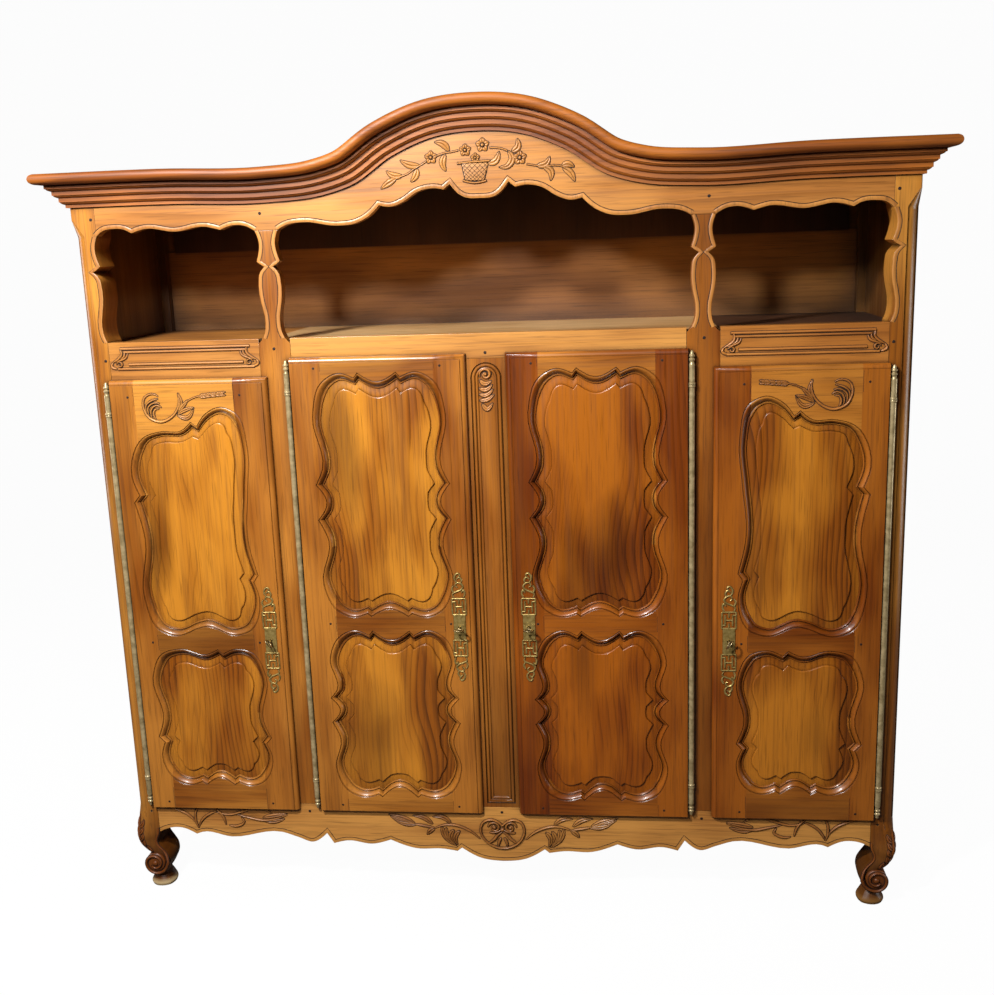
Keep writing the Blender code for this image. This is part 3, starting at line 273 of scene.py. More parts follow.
def woodMaterial(name, look):
    # growth rings bent by the tree's form, fibre streaks, open pores, dark wax with painted shade in the hollows,
    # rubbed edges, and darker low down
    material, tree = newMaterial(name)
    coords = addNode(tree, "TexCoord").outputs["Object"]
    split = addNode(tree, "SeparateXYZ", {}, {0: coords})
    swapped = addNode(tree, "CombineXYZ", {}, {i: split.outputs[2 - i] for i in range(3)})
    lay = addNode(tree, "Attribute", {"attribute_name": "crossGrain"})
    board = addNode(tree, "Attribute", {"attribute_name": "toneAndShade"}).outputs["Fac"]
    ways = (swapped.outputs[0], coords) if look["across"] else (coords, swapped.outputs[0])
    along = addNode(tree, "Mix", {"data_type": "VECTOR"},
                    {0: lay.outputs["Fac"], 4: ways[0], 5: ways[1]}).outputs[1]
    grain = {}
    # each pattern is drawn out along the timber by its own share
    for key, share, detail in (("patch", 0.3, 2), ("figure", look["flame"], 1.2), ("streak", 0.018, 3),
                               ("pore", 0.03, 1)):
        drawn = addNode(tree, "Mapping", {"Scale": (1, 1, share)}, {"Vector": along, "Location": board})
        grain[key] = addNode(tree, "TexNoise", {"Scale": 1 / look[key], "Detail": detail, "Roughness": 0.6},
                             {"Vector": drawn.outputs[0]}).outputs[0]
    across = addNode(tree, "SeparateXYZ", {}, {0: along})
    even = addNode(tree, "Math", {"operation": "MULTIPLY", 1: 1 / look["ring"]}, {0: across.outputs[0]})
    bent = addNode(tree, "Math", {"operation": "MULTIPLY_ADD", 1: look["bend"]},
                   {0: grain["figure"], 2: even.outputs[0]})
    growth = addNode(tree, "Math", {"operation": "FRACT"}, {0: bent.outputs[0]})
    clear = addNode(tree, "MapRange", {1: 0.35, 2: 0.65, 3: 0.35, 4: 1}, {0: grain["patch"]})
    late = addNode(tree, "Math", {"operation": "MULTIPLY"}, {0: growth.outputs[0], 1: clear.outputs[0]})
    edge = addNode(tree, "AmbientOcclusion", {"samples": 4, "inside": True, "Distance": 2 * mm})
    hollow = addNode(tree, "AmbientOcclusion", {"samples": 6, "Distance": look["hollow"]})
    color = None
    # layers of colour: what they follow, from and to which value, their shares there, their shade
    for source, start, end, first, last, shade in (
            (grain["patch"], 0.4, 0.62, 0, 1, "middle"),
            (grain["figure"], 0.56, 0.72, 0, look["heart"], "dark"),
            (late.outputs[0], 0.45, 1, 0, look["ringDepth"], "dark"),
            (grain["streak"], 0.48, 0.72, 0, look["streakDepth"], "dark"),
            (grain["pore"], 0.58, 0.7, 0, look["poreDepth"], "waxAndShade"),
            (edge.outputs["AO"], 0.2, 0.75, look["wear"], 0, "rubbed"),
            # hollows and corners darkened by ambient occlusion: partly old wax, partly painted shade
            (hollow.outputs["AO"], 0.4, 0.95, look["dirtAndShade"], 0, "waxAndShade"),
            # darker towards the floor, from 270 mm down to 110 mm
            (split.outputs[2], 110 * mm, 270 * mm, look["darkerLow"], 0, "dark"),
            (split.outputs[2], 8 * mm, 20 * mm, look["bare"], 0, "rubbed")):
        share = addNode(tree, "MapRange", {1: start, 2: end, 3: first, 4: last}, {0: source})
        layer = addNode(tree, "Mix",
                        {"data_type": "RGBA", 6: hexColor(look["light"]), 7: hexColor(look[shade])},
                        {0: share.outputs[0]})
        if color:
            tree.links.new(color, layer.inputs[6])
        color = layer.outputs[2]
    # a board of low tone is deeper and redder than a pale one
    tint = addNode(tree, "Mix", {"data_type": "RGBA", 6: hexColor(look["deep"]), 7: hexColor("#ffffff")},
                   {0: board})
    toned = addNode(tree, "Mix", {"data_type": "RGBA", "blend_type": "MULTIPLY", 0: 1},
                    {6: color, 7: tint.outputs[2]})
    bump = addNode(tree, "Bump", {"Strength": 0.5, "Distance": 0.25 * mm}, {"Height": grain["streak"]})
    fine = addNode(tree, "Bump", {"Strength": 0.35, "Distance": 0.12 * mm, "invert": True},
                   {"Height": grain["pore"], "Normal": bump.outputs[0]})
    rough = addNode(tree, "MapRange", {1: 0.3, 2: 0.7, 3: look["rough"] - 0.06, 4: look["rough"] + 0.1},
                    {0: grain["streak"]})
    surface = addNode(tree, "BsdfPrincipled",
                      {"IOR": 1.5, "Coat Weight": look["coat"], "Coat Roughness": 0.18},
                      {"Base Color": toned.outputs[2], "Normal": fine.outputs[0], "Roughness": rough.outputs[0]})
    addNode(tree, "OutputMaterial", {}, {0: surface.outputs[0]})
    return material


def metalMaterial(name, look):
    # cast metal with dull tarnish in patches, and dirt and painted shade in the hollows
    material, tree = newMaterial(name)
    coords = addNode(tree, "TexCoord").outputs["Object"]
    patch = addNode(tree, "TexNoise", {"Scale": 1 / look["patch"], "Detail": 5}, {"Vector": coords})
    tarnish = addNode(tree, "MapRange", {1: 0.35, 2: 0.68}, {0: patch.outputs[0]})
    base = addNode(tree, "Mix",
                   {"data_type": "RGBA", 6: hexColor(look["color"]), 7: hexColor(look["tarnish"])},
                   {0: tarnish.outputs[0]})
    # hollows darkened by ambient occlusion: partly dirt, partly painted shade
    hollow = addNode(tree, "AmbientOcclusion", {"samples": 6, "Distance": 3 * mm})
    dirtAndShade = addNode(tree, "MapRange", {1: 0.3, 2: 0.9, 3: 0.8, 4: 0}, {0: hollow.outputs["AO"]})
    color = addNode(tree, "Mix", {"data_type": "RGBA", 7: hexColor(look["dirtAndShade"])},
                    {0: dirtAndShade.outputs[0], 6: base.outputs[2]})
    rough = addNode(tree, "MapRange", {3: look["rough"] - 0.08, 4: look["rough"] + 0.14},
                    {0: tarnish.outputs[0]})
    bump = addNode(tree, "Bump", {"Strength": 0.4, "Distance": 0.15 * mm}, {"Height": patch.outputs[0]})
    surface = addNode(tree, "BsdfPrincipled", {"Metallic": look["metallic"]},
                      {"Base Color": color.outputs[2], "Roughness": rough.outputs[0], "Normal": bump.outputs[0]})
    addNode(tree, "OutputMaterial", {}, {0: surface.outputs[0]})
    return material


# growth rings and pores are finer in the real timber: they are drawn as coarse as the picture needs
frameLook = {"light": "#d28d39", "middle": "#9d5a18", "dark": "#4a2408", "waxAndShade": "#170802", "rubbed": "#dca65c",
             "deep": "#c29648", "across": False, "patch": 150 * mm, "figure": 170 * mm, "flame": 0.12, "ring": 16 * mm,
             "bend": 7, "heart": 0.45, "ringDepth": 0.4, "streak": 9 * mm, "streakDepth": 0.3, "pore": 2.6 * mm,
             "poreDepth": 0.3, "hollow": 17 * mm, "dirtAndShade": 0.9, "wear": 0.28, "darkerLow": 0.0, "bare": 0.0, "rough": 0.34,
             "coat": 0.28}
panelLook = dict(frameLook, light="#da902c", middle="#a05a13", dark="#3d1a04", figure=190 * mm, flame=0.34,
                 ring=13 * mm, bend=11, heart=0.55, ringDepth=0.72, streakDepth=0.32, patch=130 * mm, hollow=28 * mm)
paleLook = dict(frameLook, light="#dc9a4c", middle="#bd7c3a", dark="#5a300f", heart=0.3)
insideLook = dict(frameLook, light="#cc8638", middle="#a26526", dark="#4e2c10", waxAndShade="#0e0502", deep="#ffffff",
                  rough=0.55, coat=0.0, wear=0.2, across=True, hollow=110 * mm, dirtAndShade=0.8, ringDepth=0.2)
corniceLook = dict(frameLook, light="#b4661c", middle="#8a4710", dark="#431d06", rubbed="#c06a18", deep="#ffffff",
                   rough=0.52, coat=0.0, hollow=9 * mm)
carvedLook = dict(paleLook, wear=0.12, hollow=7 * mm, darkerLow=0.6, rough=0.44, coat=0.12)
waxAndShadowLook = dict(frameLook, light="#2c1408", middle="#241006", dark="#1a0b04", wear=0.0, coat=0.0, rough=0.7)
# walnut planed and waxed: golden brown, satin, with dark wax and painted shade in corners and pale rubbed edges
waxedWalnut = woodMaterial("waxed walnut, planed", frameLook)
# the same timber where hands and light have kept it pale
paleWalnut = woodMaterial("waxed walnut, faded", paleLook)
# the same timber on the feet, kicked bare of wax at the floor and darker above it
wornWalnut = {"left": woodMaterial("waxed walnut, worn foot", dict(frameLook, rubbed="#dcc08e", bare=0.85, darkerLow=0.8)),
              "right": woodMaterial("waxed walnut, scuffed foot", dict(frameLook, bare=0.25, darkerLow=0.85))}
# the same timber on the sides, deep brown with painted shade towards the floor and the wall
sideWalnut = woodMaterial("waxed walnut, side board", dict(frameLook, deep="#ffffff", hollow=420 * mm, dirtAndShade=0.8))
# figured walnut for the panels: stronger growth rings and streaks, the same wax, and painted shade reaching further
# from the mouldings
figuredWalnut = woodMaterial("waxed walnut, figured board", panelLook)
# the same walnut run as mouldings: darker, with wax and painted shade in its grooves, duller on the rounds
mouldedWalnut = woodMaterial("waxed walnut, run moulding", corniceLook)
# the same walnut cut by hand, dark in its cuts with wax and painted shade, and darker low down
carvedWalnut = woodMaterial("waxed walnut, carved", carvedLook)
# the same walnut as a shelf: pale with painted light, smooth
paintedLightShelf = woodMaterial("waxed walnut, shelf with painted light", dict(insideLook, light="#f0c488", middle="#dcaa6c", coat=0.15,
                                                               rough=0.4, hollow=6 * mm, dirtAndShade=0.3))
# walnut left sawn inside: dull, hardly any sheen, darker with painted shade far into its corners
sawnWalnut = woodMaterial("sawn walnut, unpolished", insideLook)
# the same where the lamps do not reach: dark brown with painted shade
paintedShadeWalnut = woodMaterial("sawn walnut, painted shade", dict(insideLook, light="#5c3518", middle="#472710", hollow=200 * mm))
# old wax packed into cut lines and peg ends: near black and dull; as the outlines of the carving and the lines along
# the niche edges it also stands for the shadow in the cuts, a painted shadow
waxAndPaintedShadow = woodMaterial("beeswax, old and dirty, with painted shadow", waxAndShadowLook)
# cast brass gone olive with age: soft gloss, brown in the hollows
agedBrass = metalMaterial("cast brass, aged", {"color": "#c9ae6a", "tarnish": "#8c7238", "dirtAndShade": "#3d2c15",
                                               "patch": 9 * mm, "rough": 0.42, "metallic": 0.65})
# drawn rods with grey-beige tarnish: pale, soft gloss
dulledRod = metalMaterial("drawn brass rod, tarnished", {"color": "#d2bb8c", "tarnish": "#98835a", "dirtAndShade": "#4a3822",
                                                         "patch": 14 * mm, "rough": 0.36, "metallic": 0.4})
# forged iron, handled: brown-grey, with a soft gloss
handledIron = metalMaterial("forged iron, handled", {"color": "#b9a67c", "tarnish": "#5c503c", "dirtAndShade": "#17120e",
                                                     "patch": 6 * mm, "rough": 0.36, "metallic": 1.0})
print("materials ready")


def dress(nodes, finish):
    for node in nodes:
        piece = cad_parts[node]
        piece.data.materials.clear()
        piece.data.materials.append(finish)


# niche edges: share of the height, wood added
nicheLine = ((0, 0), (.055, -.006), (.15, -.0095), (.41, 0), (.52, 0), (.62, -.006), (.67, -.019, 1), (.72, .001, 1),
             (.80, -.0055), (.89, -.008), (1, 0))
nicheEdge = [(sillZ + (jointZ - sillZ) * share, added) for share, added in smoothCurve(nicheLine, 4)]
easedShare = 0.3  # place of the middle line on an eased edge


def softSlab(outline, soft, y0=frontY, y1=railBack):
    # board of a given outline with its front edges eased
    mesh = newMesh()
    near = soft * easedShare
    stack(mesh, [upright(mesh, inward(outline, soft), y0), upright(mesh, inward(outline, near), y0 + near),
                 upright(mesh, outline, y0 + soft), upright(mesh, outline, y1)])
    return mesh


# pockets for the thrown bolts in the stiles
pocket = {"room": 2 * mm, "travel": 12 * mm, "near": 0.01 * mm}


def boltPocket(mesh, edge, turn, bolt):
    # the stile's flat edge at x = edge gets a hole with a floor behind it
    x, y0, z0 = low(bolt)
    y1, z1 = high(bolt)[1:]
    spot = Vector((edge, (y0 + y1) / 2, (z0 + z1) / 2))

    def holds(face):
        spans = [[vert.co[axis] for vert in face.verts] for axis in range(3)]
        return all(min(span) - pocket["near"] < place < max(span) + pocket["near"] for span, place in zip(spans, spot))

    face = next(face for face in mesh.faces if holds(face))
    corners = list(face.verts)
    mesh.faces.remove(face)
    room = pocket["room"]
    outline = rectangle(y0 - room, y1 + room, z0 - room, z1 + room)
    hole, floor = [ring(mesh, [(depth, y, z) for y, z in outline])
                   for depth in (edge, turn * (x - pocket["travel"] - room))]
    cover(mesh, corners, hole)
    wall(mesh, hole, floor)
    cover(mesh, floor)


def blendRows(rows, steps):
    # rows of numbers with smooth rows between them
    result = []
    for i in range(len(rows) - 1):
        around = [rows[max(i - 1, 0)], rows[i], rows[i + 1], rows[min(i + 2, len(rows) - 1)]]
        for step in range(steps):
            t = step / steps
            result.append([b + 0.5 * t * (c - a + t * (2 * a - 5 * b + 4 * c - d + t * (3 * (b - c) + d - a)))
                           for a, b, c, d in zip(*around)])
    return result + [list(rows[-1])]


# front posts with their feet, and the inner stiles
post = {"rounding": 4 * mm, "footRounding": 26 * mm, "cornerShare": 0.45, "moulding": 30 * mm, "fillet": 4 * mm,
        "filletLean": 0.02, "stop": 22 * mm, "run": 40 * mm, "soft": 1 * mm, "toneAndShade": 1, "crease": 30, "footSteps": 4,
        "mouldSteps": 10, "roundSteps": 14, "faceSteps": (5, 6, 6, 4),  # faces: side, back, inside, front
        # height, wood added outside, inside, in front, in front at the inner edge and behind, all in mm, then the
        # plan's lean towards an oval
        "foot": ((0, -20, 24, 10, 10, -28, .9), (4, -18.4, 25.6, 11.6, 11.6, -26.4, .9), (10, -18, 26, 12, 12, -26, .9),
                 (24, -26, 17, 5, 5, -30, .85), (38, -34, 10, -2, -2, -34, .8), (52, -36, 18, -4, -4, -20, .45),
                 (70, -36, 23, 0, 0, -12, .25), (88, -30, 19, 4, 2, -6, .15), (104, -17, 8, 8, 3, -3, .1),
                 (120, -8, -6, 12, 3, 0, 0), (134, -2, -9, 14, 2, 0, 0), (152, 3, -2, 15, 1, 0, 0),
                 (178, 2, 0, 8, 0, 0, 0), (206, 0, 0, 2, 0, 0, 0))}
footRows = blendRows(post["foot"], post["footSteps"])
# the right stile is darker partly by its own tone, partly by painted shade
stile = {"inset": 11 * mm, "soft": 0.8 * mm, "toneAndShade": {"left": 0.68, "right": 0.28}}
inset = stile["inset"]


def cornerSection(outside, inside, front, innerFront, back, rounding, moulded, roundness=0.0):
    # plan of a post; its outer corner is moulded or rounded, and the whole plan can lean towards an oval
    size, fillet, lean, soft = (post[key] for key in ("moulding", "fillet", "filletLean", "soft"))
    count = post["mouldSteps"] if moulded else post["roundSteps"]
    turns = [math.pi / 2 * step / count for step in range(count + 1)]
    if moulded:
        start, end, radius = outside - size, front + size, size - fillet
        corner = [(start, front), (start, front + fillet * (1 - lean))]
        corner += [(start + radius * math.sin(turn), end - radius * math.cos(turn)) for turn in turns]
        corner += [(outside - fillet * lean, end), (outside, end)]
    else:
        corner = [(outside - rounding * (1 - math.sin(turn)), front + rounding * (1 - math.cos(turn)))
                  for turn in turns]
    side = corner[-1][1]
    ends = Vector((inside + soft, innerFront)), Vector(corner[0])
    sideSteps, backSteps, insideSteps, frontSteps = post["faceSteps"]
    loop = corner + [(outside, side + (back - side) * step / sideSteps) for step in range(1, sideSteps + 1)]
    loop += [(outside + (inside - outside) * step / backSteps, back) for step in range(1, backSteps + 1)]
    loop += [(inside, back + (innerFront + soft - back) * step / insideSteps) for step in range(1, insideSteps + 1)]
    loop += [(inside + soft * easedShare, innerFront + soft * easedShare)]
    loop += [tuple(ends[0].lerp(ends[1], step / frontSteps)) for step in range(frontSteps)]
    middle = Vector(((outside + inside) / 2, (front + back) / 2))
    half = Vector(((outside - inside) / 2, (back - front) / 2))
    result = []
    for x, y in loop:
        way = Vector(((x - middle.x) / half.x, (y - middle.y) / half.y))
        way = way.lerp(way / way.length, roundness)
        result.append((middle.x + way.x * half.x, middle.y + way.y * half.y))
    return result


def footCorner(row):
    # radius of the foot's outer corner, in mm
    return min(post["footRounding"], post["cornerShare"] * (caseHalf - postInside + (row[1] + row[2]) * mm)) / mm


for side, word in sides:
    stations = []
    for row in footRows:
        height, out, within, forward, innerForward, behind, oval = row
        stations.append((height * mm, caseHalf + out * mm, postInside - within * mm, frontY - forward * mm,
                         frontY - innerForward * mm, postBack + behind * mm, footCorner(row) * mm, False, oval))
    plain = (caseHalf, postInside, frontY, frontY, postBack, post["rounding"])
    stations.append((footRows[-1][0] * mm + post["stop"], *plain, True))
    for height, added in nicheEdge:
        stations.append((height, caseHalf, postInside - added, *plain[2:], True))
    stations.append((jointZ + post["run"], *plain, False))
    stations.append((caseTop, *plain, False))
    mesh = newMesh()
    stack(mesh, [ring(mesh, [(x, y, height) for x, y in cornerSection(*plan)]) for height, *plan in stations])
    addPiece("post_" + word, mesh, wornWalnut[word], "case", ["front_post_" + word], side=side, toneAndShade=post["toneAndShade"],
             crease=post["crease"])

    outer = [(stileOutside - inset + added, height) for height, added in nicheEdge]
    inner = [(stileInside + inset - added, height) for height, added in nicheEdge]
    shoulder = sillZ - inset
    outline = [(stileInside, apronTop + fit), (stileOutside, apronTop + fit), (stileOutside, shoulder)]
    outline += outer[:-1] + [(outer[-1][0], jointZ - fit), (inner[-1][0], jointZ - fit)]
    outline += list(reversed(inner[:-1])) + [(stileInside, shoulder)]
    mesh = softSlab(outline, stile["soft"])
    boltPocket(mesh, stileOutside, 1, "lock_bolt_outer_right")
    addPiece("innerStile_" + word, mesh, waxedWalnut, "case", ["inner_stile_" + word], side=side,
             toneAndShade=stile["toneAndShade"][word])

# centre stile with a long sunk panel inside two reeds; steps: distance in from the outline, depth, in mm
centreEdge, centreTop = high("centre_stile")[0], high("centre_stile")[2]
centre = {"half": 38 * mm, "low": apronTop + 10 * mm, "high": centreTop - 9.7 * mm, "archSteps": 24, "toneAndShade": 0.55,
          "steps": ((0, 0), (0.6, 2.4), (1.6, 3.6), (2.8, 2.6), (4.6, 0.6), (7, 0.2), (9.2, 0.9), (10.6, 2.8),
                    (11.4, 4.2), (12.4, 3.2), (14, 2.2), (16, 2.0), (17.6, 3.0), (18.4, 4.6), (19, 5.2))}
half = centre["half"]
turns = [math.pi * step / centre["archSteps"] for step in range(centre["archSteps"] + 1)]
outline = [(-half, centre["low"]), (half, centre["low"])]
outline += [(half * math.cos(turn), centre["high"] - half + half * math.sin(turn)) for turn in turns]
mesh = newMesh()
edge = rectangle(-centreEdge, centreEdge, apronTop + fit, centreTop)
rings = [upright(mesh, inward(outline, step * mm), frontY + depth * mm) for step, depth in centre["steps"]]
front, back = upright(mesh, edge, frontY), upright(mesh, edge, railBack)
wall(mesh, front, back)
cover(mesh, back)
cover(mesh, front, rings[0])
walls(mesh, rings)
cover(mesh, rings[-1])
for turn in (1, -1):
    boltPocket(mesh, turn * centreEdge, turn, "lock_bolt_inner_right")
addPiece("centreStile", mesh, waxedWalnut, "case", ["centre_stile"], toneAndShade=centre["toneAndShade"])

# frieze over the niches, and the cornice that follows its arch; lines: share of the width, rise
arch = {"half": 0.5, "rise": 0.141, "dip": 0.005,
        "line": ((0, 1), (.2, .933), (.4, .667), (.6, .227), (.75, .075), (1, 0))}
sideValance = ((0, 0), (.03, .010), (.11, .017), (.18, .014), (.224, .005, 1), (.31, .014), (.50, .005), (.69, .014),
               (.785, .005, 1), (.87, .015), (.95, .011), (1, 0))
middleValance = ((0, .056), (.10, .067), (.141, .090, 1), (.172, .078, 1), (.22, .082), (.30, .075), (.37, .054),
                 (.43, .044), (.489, .048, 1), (.535, .027), (.61, .009), (.70, .005), (.87, .016), (.96, .010), (1, 0))
friezeRail = {"steps": 6, "under": 4 * mm, "soft": 0.8 * mm, "toneAndShade": 0.8}
# section: share of the reach, share of the height
cornice = {"steps": 8, "sectionSteps": 3, "toneAndShade": 0.42, "crease": 32,
           "section": ((.10, 0, 1), (.10, .09, 1), (.15, .105), (.22, .15), (.235, .17, 1), (.26, .17, 1),
                       (.26, .29, 1), (.30, .305), (.37, .34), (.39, .37, 1), (.42, .37, 1), (.42, .48, 1),
                       (.46, .495), (.54, .53), (.56, .56, 1), (.60, .56, 1), (.60, .67, 1), (.72, .68, 1), (.88, .70),
                       (.97, .76), (1, .85), (.96, .945), (.85, 1))}


def cornicePath(steps):
    points = [(share * arch["half"], corniceLow - arch["dip"] + rise * arch["rise"]) for share, rise in arch["line"]]
    points += [((caseHalf + arch["half"]) / 2, corniceLow), (caseHalf, corniceLow)]
    return smoothCurve([(-x, z) for x, z in reversed(points[1:])] + points, steps)


def raisedLine(path, height):
    line = beside(path, height)
    for end in (0, -1):
        line[end] = (path[end][0], path[end][1] + height)
    return line


steps = friezeRail["steps"]
lowerLine = [(share * (stileInside + inset), jointZ + rise) for share, rise in smoothCurve(middleValance, steps)]
sideLine = [(stileOutside - inset + (1 - share) * (postInside - stileOutside + inset), jointZ + rise)
            for share, rise in reversed(smoothCurve(sideValance, steps))]
friezeEnd = postInside - fit
sideLine[-1] = (friezeEnd, jointZ)
upperLine = [point for point in raisedLine(cornicePath(steps), corniceTall - friezeRail["under"])
             if 0 <= point[0] < friezeEnd]
outline = mirroredHalf(lowerLine + sideLine + [(friezeEnd, caseTop)] + list(reversed(upperLine)))
addPiece("frieze", softSlab(outline, friezeRail["soft"]), paleWalnut, "case", ["frieze_rail"], across=True,
         toneAndShade=friezeRail["toneAndShade"])

section = [(corniceReach * reach, corniceTall * height)
           for reach, height in smoothCurve(cornice["section"], cornice["sectionSteps"])]
section = [(fit, 0)] + section + [(fit, corniceTall)]
path = cornicePath(cornice["steps"])
lines = [(reach, raisedLine(path, height)) for reach, height in section]
mesh = newMesh()
loops = []
for index in range(len(path)):
    mitre = -1 if index == 0 else 1 if index == len(path) - 1 else 0
    loops.append(ring(mesh, [(line[index][0] + mitre * (reach - fit), frontY - reach, line[index][1])
                             for reach, line in lines]))
stack(mesh, loops)
addPiece("cornice", mesh, mouldedWalnut, "case", ["cornice_front"], across=True, toneAndShade=cornice["toneAndShade"],
         crease=cornice["crease"])
for side, word in sides:
    mesh = newMesh()
    start = [(caseHalf + reach, frontY - reach + fit, corniceLow + height) for reach, height in section]
    stack(mesh, [ring(mesh, start), ring(mesh, [(x, caseBack, z) for x, y, z in start])])
    addPiece("corniceReturn_" + word, mesh, mouldedWalnut, "case", ["cornice_return_" + word], side=side,
             toneAndShade=cornice["toneAndShade"], crease=cornice["crease"])

# rails below; apron line: share from the middle, drop
# the carved pieces are darker on the right, partly by their own tone, partly by painted shade
rails = {"apronSoft": 1.2 * mm, "middleSoft": 1 * mm, "carvedSoft": 1 * mm, "toneAndShade": 1,
         "carvedToneAndShade": {"left": 0.9, "right": 0.5}}
apronLine = ((0, .156), (.064, .148), (.117, .120, 1), (.130, .130, 1), (.17, .124), (.25, .124), (.32, .101, 1),
             (.371, .114), (.445, .106), (.485, .115, 1), (.504, .086, 1), (.546, .112), (.589, .099), (.635, .085),
             (.785, .102), (.872, .090), (.889, .096, 1), (.933, .078), (.97, .080), (1, .092))
apronEdge = [(share * friezeEnd, apronTop - drop) for share, drop in smoothCurve(apronLine, steps)]
outline = apronEdge + [(friezeEnd, apronTop), (-friezeEnd, apronTop)]
outline += [(-x, z) for x, z in reversed(apronEdge[1:])]
addPiece("apron", softSlab(outline, rails["apronSoft"]), paleWalnut, "case", ["apron_rail"], across=True,
         toneAndShade=rails["toneAndShade"])
outline = rectangle(-stileInside + fit, stileInside - fit, low("middle_rail")[2], sillZ)
addPiece("middleRail", softSlab(outline, rails["middleSoft"]), paleWalnut, "case", ["middle_rail"], across=True,
         toneAndShade=rails["toneAndShade"])

# boards that stay as the frame has them
dress(["side_frame_left", "side_frame_right", "back_post_left", "back_post_right"], sideWalnut)
dress(["back_panel", "bottom_board", "cupboard_shelf"], sawnWalnut)
# the niche ceiling: dark brown with painted shade
dress(["top_board"], paintedShadeWalnut)
# niche floor: pale with painted light in the middle, dark with painted shade at the right, plain sawn at the left
boardLow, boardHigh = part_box("niche_board")
ends = (boardLow[0], -stileOutside, stileOutside, boardHigh[0])
for index, (word, finish) in enumerate((("left", sawnWalnut), ("middle", paintedLightShelf), ("right", paintedShadeWalnut))):
    mesh = newMesh()
    plan = rectangle(ends[index], ends[index + 1], boardLow[1], boardHigh[1])
    stack(mesh, [ring(mesh, [(x, y, z) for x, y in plan]) for z in (boardLow[2], boardHigh[2])])
    addPiece("nicheBoard_" + word, mesh, finish, "case", ["niche_board"] if word == "middle" else ())
# rail across the top of the back, dark brown with painted shade
backRail = {"half": 0.93, "low": 1.698, "thick": 5 * mm, "gap": 0.1 * mm, "soft": 1 * mm}
outline = rectangle(-backRail["half"], backRail["half"], backRail["low"], low("top_board")[2] - fit)
backFront = low("back_panel")[1] - backRail["gap"]
addPiece("backRail", softSlab(outline, backRail["soft"], backFront - backRail["thick"], backFront), paintedShadeWalnut, "case",
         across=True)
print("case ready")

# doors: outlines as shares of the opening, across towards the closing edge and up
innerUpper = mirroredHalf(((0, .965), (.28, 1, 1), (.34, .981, 1), (.56, 1), (.82, .965), (.982, .83), (.888, .62),
                           (1, .554, 1), (.855, .482), (1, .410, 1), (.865, .325), (.988, .147), (.80, .028), (.56, 0),
                           (.34, .015, 1), (.28, .003, 1), (0, .035)))
innerLower = mirroredHalf(((0, .944), (.28, .997, 1), (.34, .970, 1), (.56, 1), (.82, .955), (.97, .83), (.894, .65),
                           (1, .600, 1), (.865, .527), (1, .456, 1), (.888, .355), (.988, .184), (.82, .038), (.56, 0),
                           (.335, .019, 1), (.28, .004, 1), (0, .068)))
outerUpper = ((.588, 1), (.85, .972), (.993, .83), (.942, .638), (.878, .43), (1, .273, 1), (.92, .243, 1),
              (.993, .165), (.80, .025), (.524, .002), (.042, .042), (-.183, .027, 1), (-.486, 0), (-.80, .027),
              (-1, .172), (-.884, .438), (-1, .597, 1), (-.90, .627, 1), (-1, .715), (-.73, .878), (-.42, .902),
              (-.10, .903), (.08, .94, 1), (.175, .92, 1), (.31, .967))
outerLower = ((-.44, 1), (-.02, .961), (.19, .997, 1), (.273, .964, 1), (.49, 1), (.80, .970), (1, .79), (.884, .487),
              (1, .358, 1), (.91, .317, 1), (.993, .216), (.80, .030), (.57, 0), (.36, .026, 1), (.28, .005, 1),
              (.03, .057), (-.215, .005, 1), (-.30, .026, 1), (-.50, 0), (-.77, .035), (-.975, .216), (-.904, .317, 1),
              (-1, .358, 1), (-.89, .487), (-1, .79), (-.80, .962))
doorShapes = {"outer": {"lower": outerLower, "upper": outerUpper}, "inner": {"lower": innerLower, "upper": innerUpper}}
door = {"steps": 6, "panelEdge": 1.7 * mm, "jointShare": 0.82, "groove": 12 * mm, "grooveWide": 10 * mm,
        "slotRoom": 2 * mm, "backLip": 10 * mm, "stepIn": 18 * mm, "hingeIn": 6.5 * mm, "rebate": 15 * mm,
        "keyhole": 4.2 * mm, "keySides": 16, "crease": 30,
        # moulding round a panel: distance in from the opening's outline, depth below the face, in mm
        "moulding": ((0, 0), (0.4, 0.3), (0.8, 1.8), (1.5, 2.4), (2.4, 1.9), (3.6, 1.1), (5, 1.1), (6.4, 1.8), (8, 3.2),
                     (10, 5.4), (12, 8), (13.4, 10.3), (14.3, 11), (15.3, 10.2), (16.5, 8.8), (17.8, 8.8), (18.8, 9.8),
                     (19.6, 11), (20, 12)),
        # thumbnail round the closing edge and the top: distance in from the edge, the same at the other edges, depth
        "edge": ((14, 1.0, 0), (13.6, 0.6, 0.3), (13.2, 0.2, 1.9), (12.6, 0, 2.3), (11.6, 0, 1.9), (9, 0, 2.0),
                 (6, 0, 2.9), (3, 0, 4.8), (1, 0, 7.6), (0, 0, 11)),
        # raised field: distance in, rise above the panel's tongue
        "field": ((19, 0.2), (26, 1.0), (33, 2.0), (39, 2.3), (39.8, 2.1), (40.4, 3.6), (41.2, 5.3), (42.2, 6.2),
                  (44, 6.6)),
        # panel and frame tones: each board's own tone, and lower on the right half partly as painted shade
        "panelToneAndShade": {"outer_left": 0.75, "inner_left": 0.8, "inner_right": 0.16, "outer_right": 0.58},
        "placeTone": {"lower": -0.05, "upper": 0.05},
        "frameToneAndShade": {"outer_left": 0.55, "inner_left": 0.5, "inner_right": 0.03, "outer_right": 0.15},
        # added to the frame's tone, the top rail's share partly a painted highlight; the middle rail reaches this far
        # above and below its middle line
        "railToneAndHighlight": {"top": 0.5, "middle": 0.1, "bottom": 0.2}, "hingeTone": 0.08, "railReach": 0.2}


def grown(room, margin):
    x0, x1, z0, z1 = room
    return rectangle(x0 - margin, x1 + margin, z0 - margin, z1 + margin)


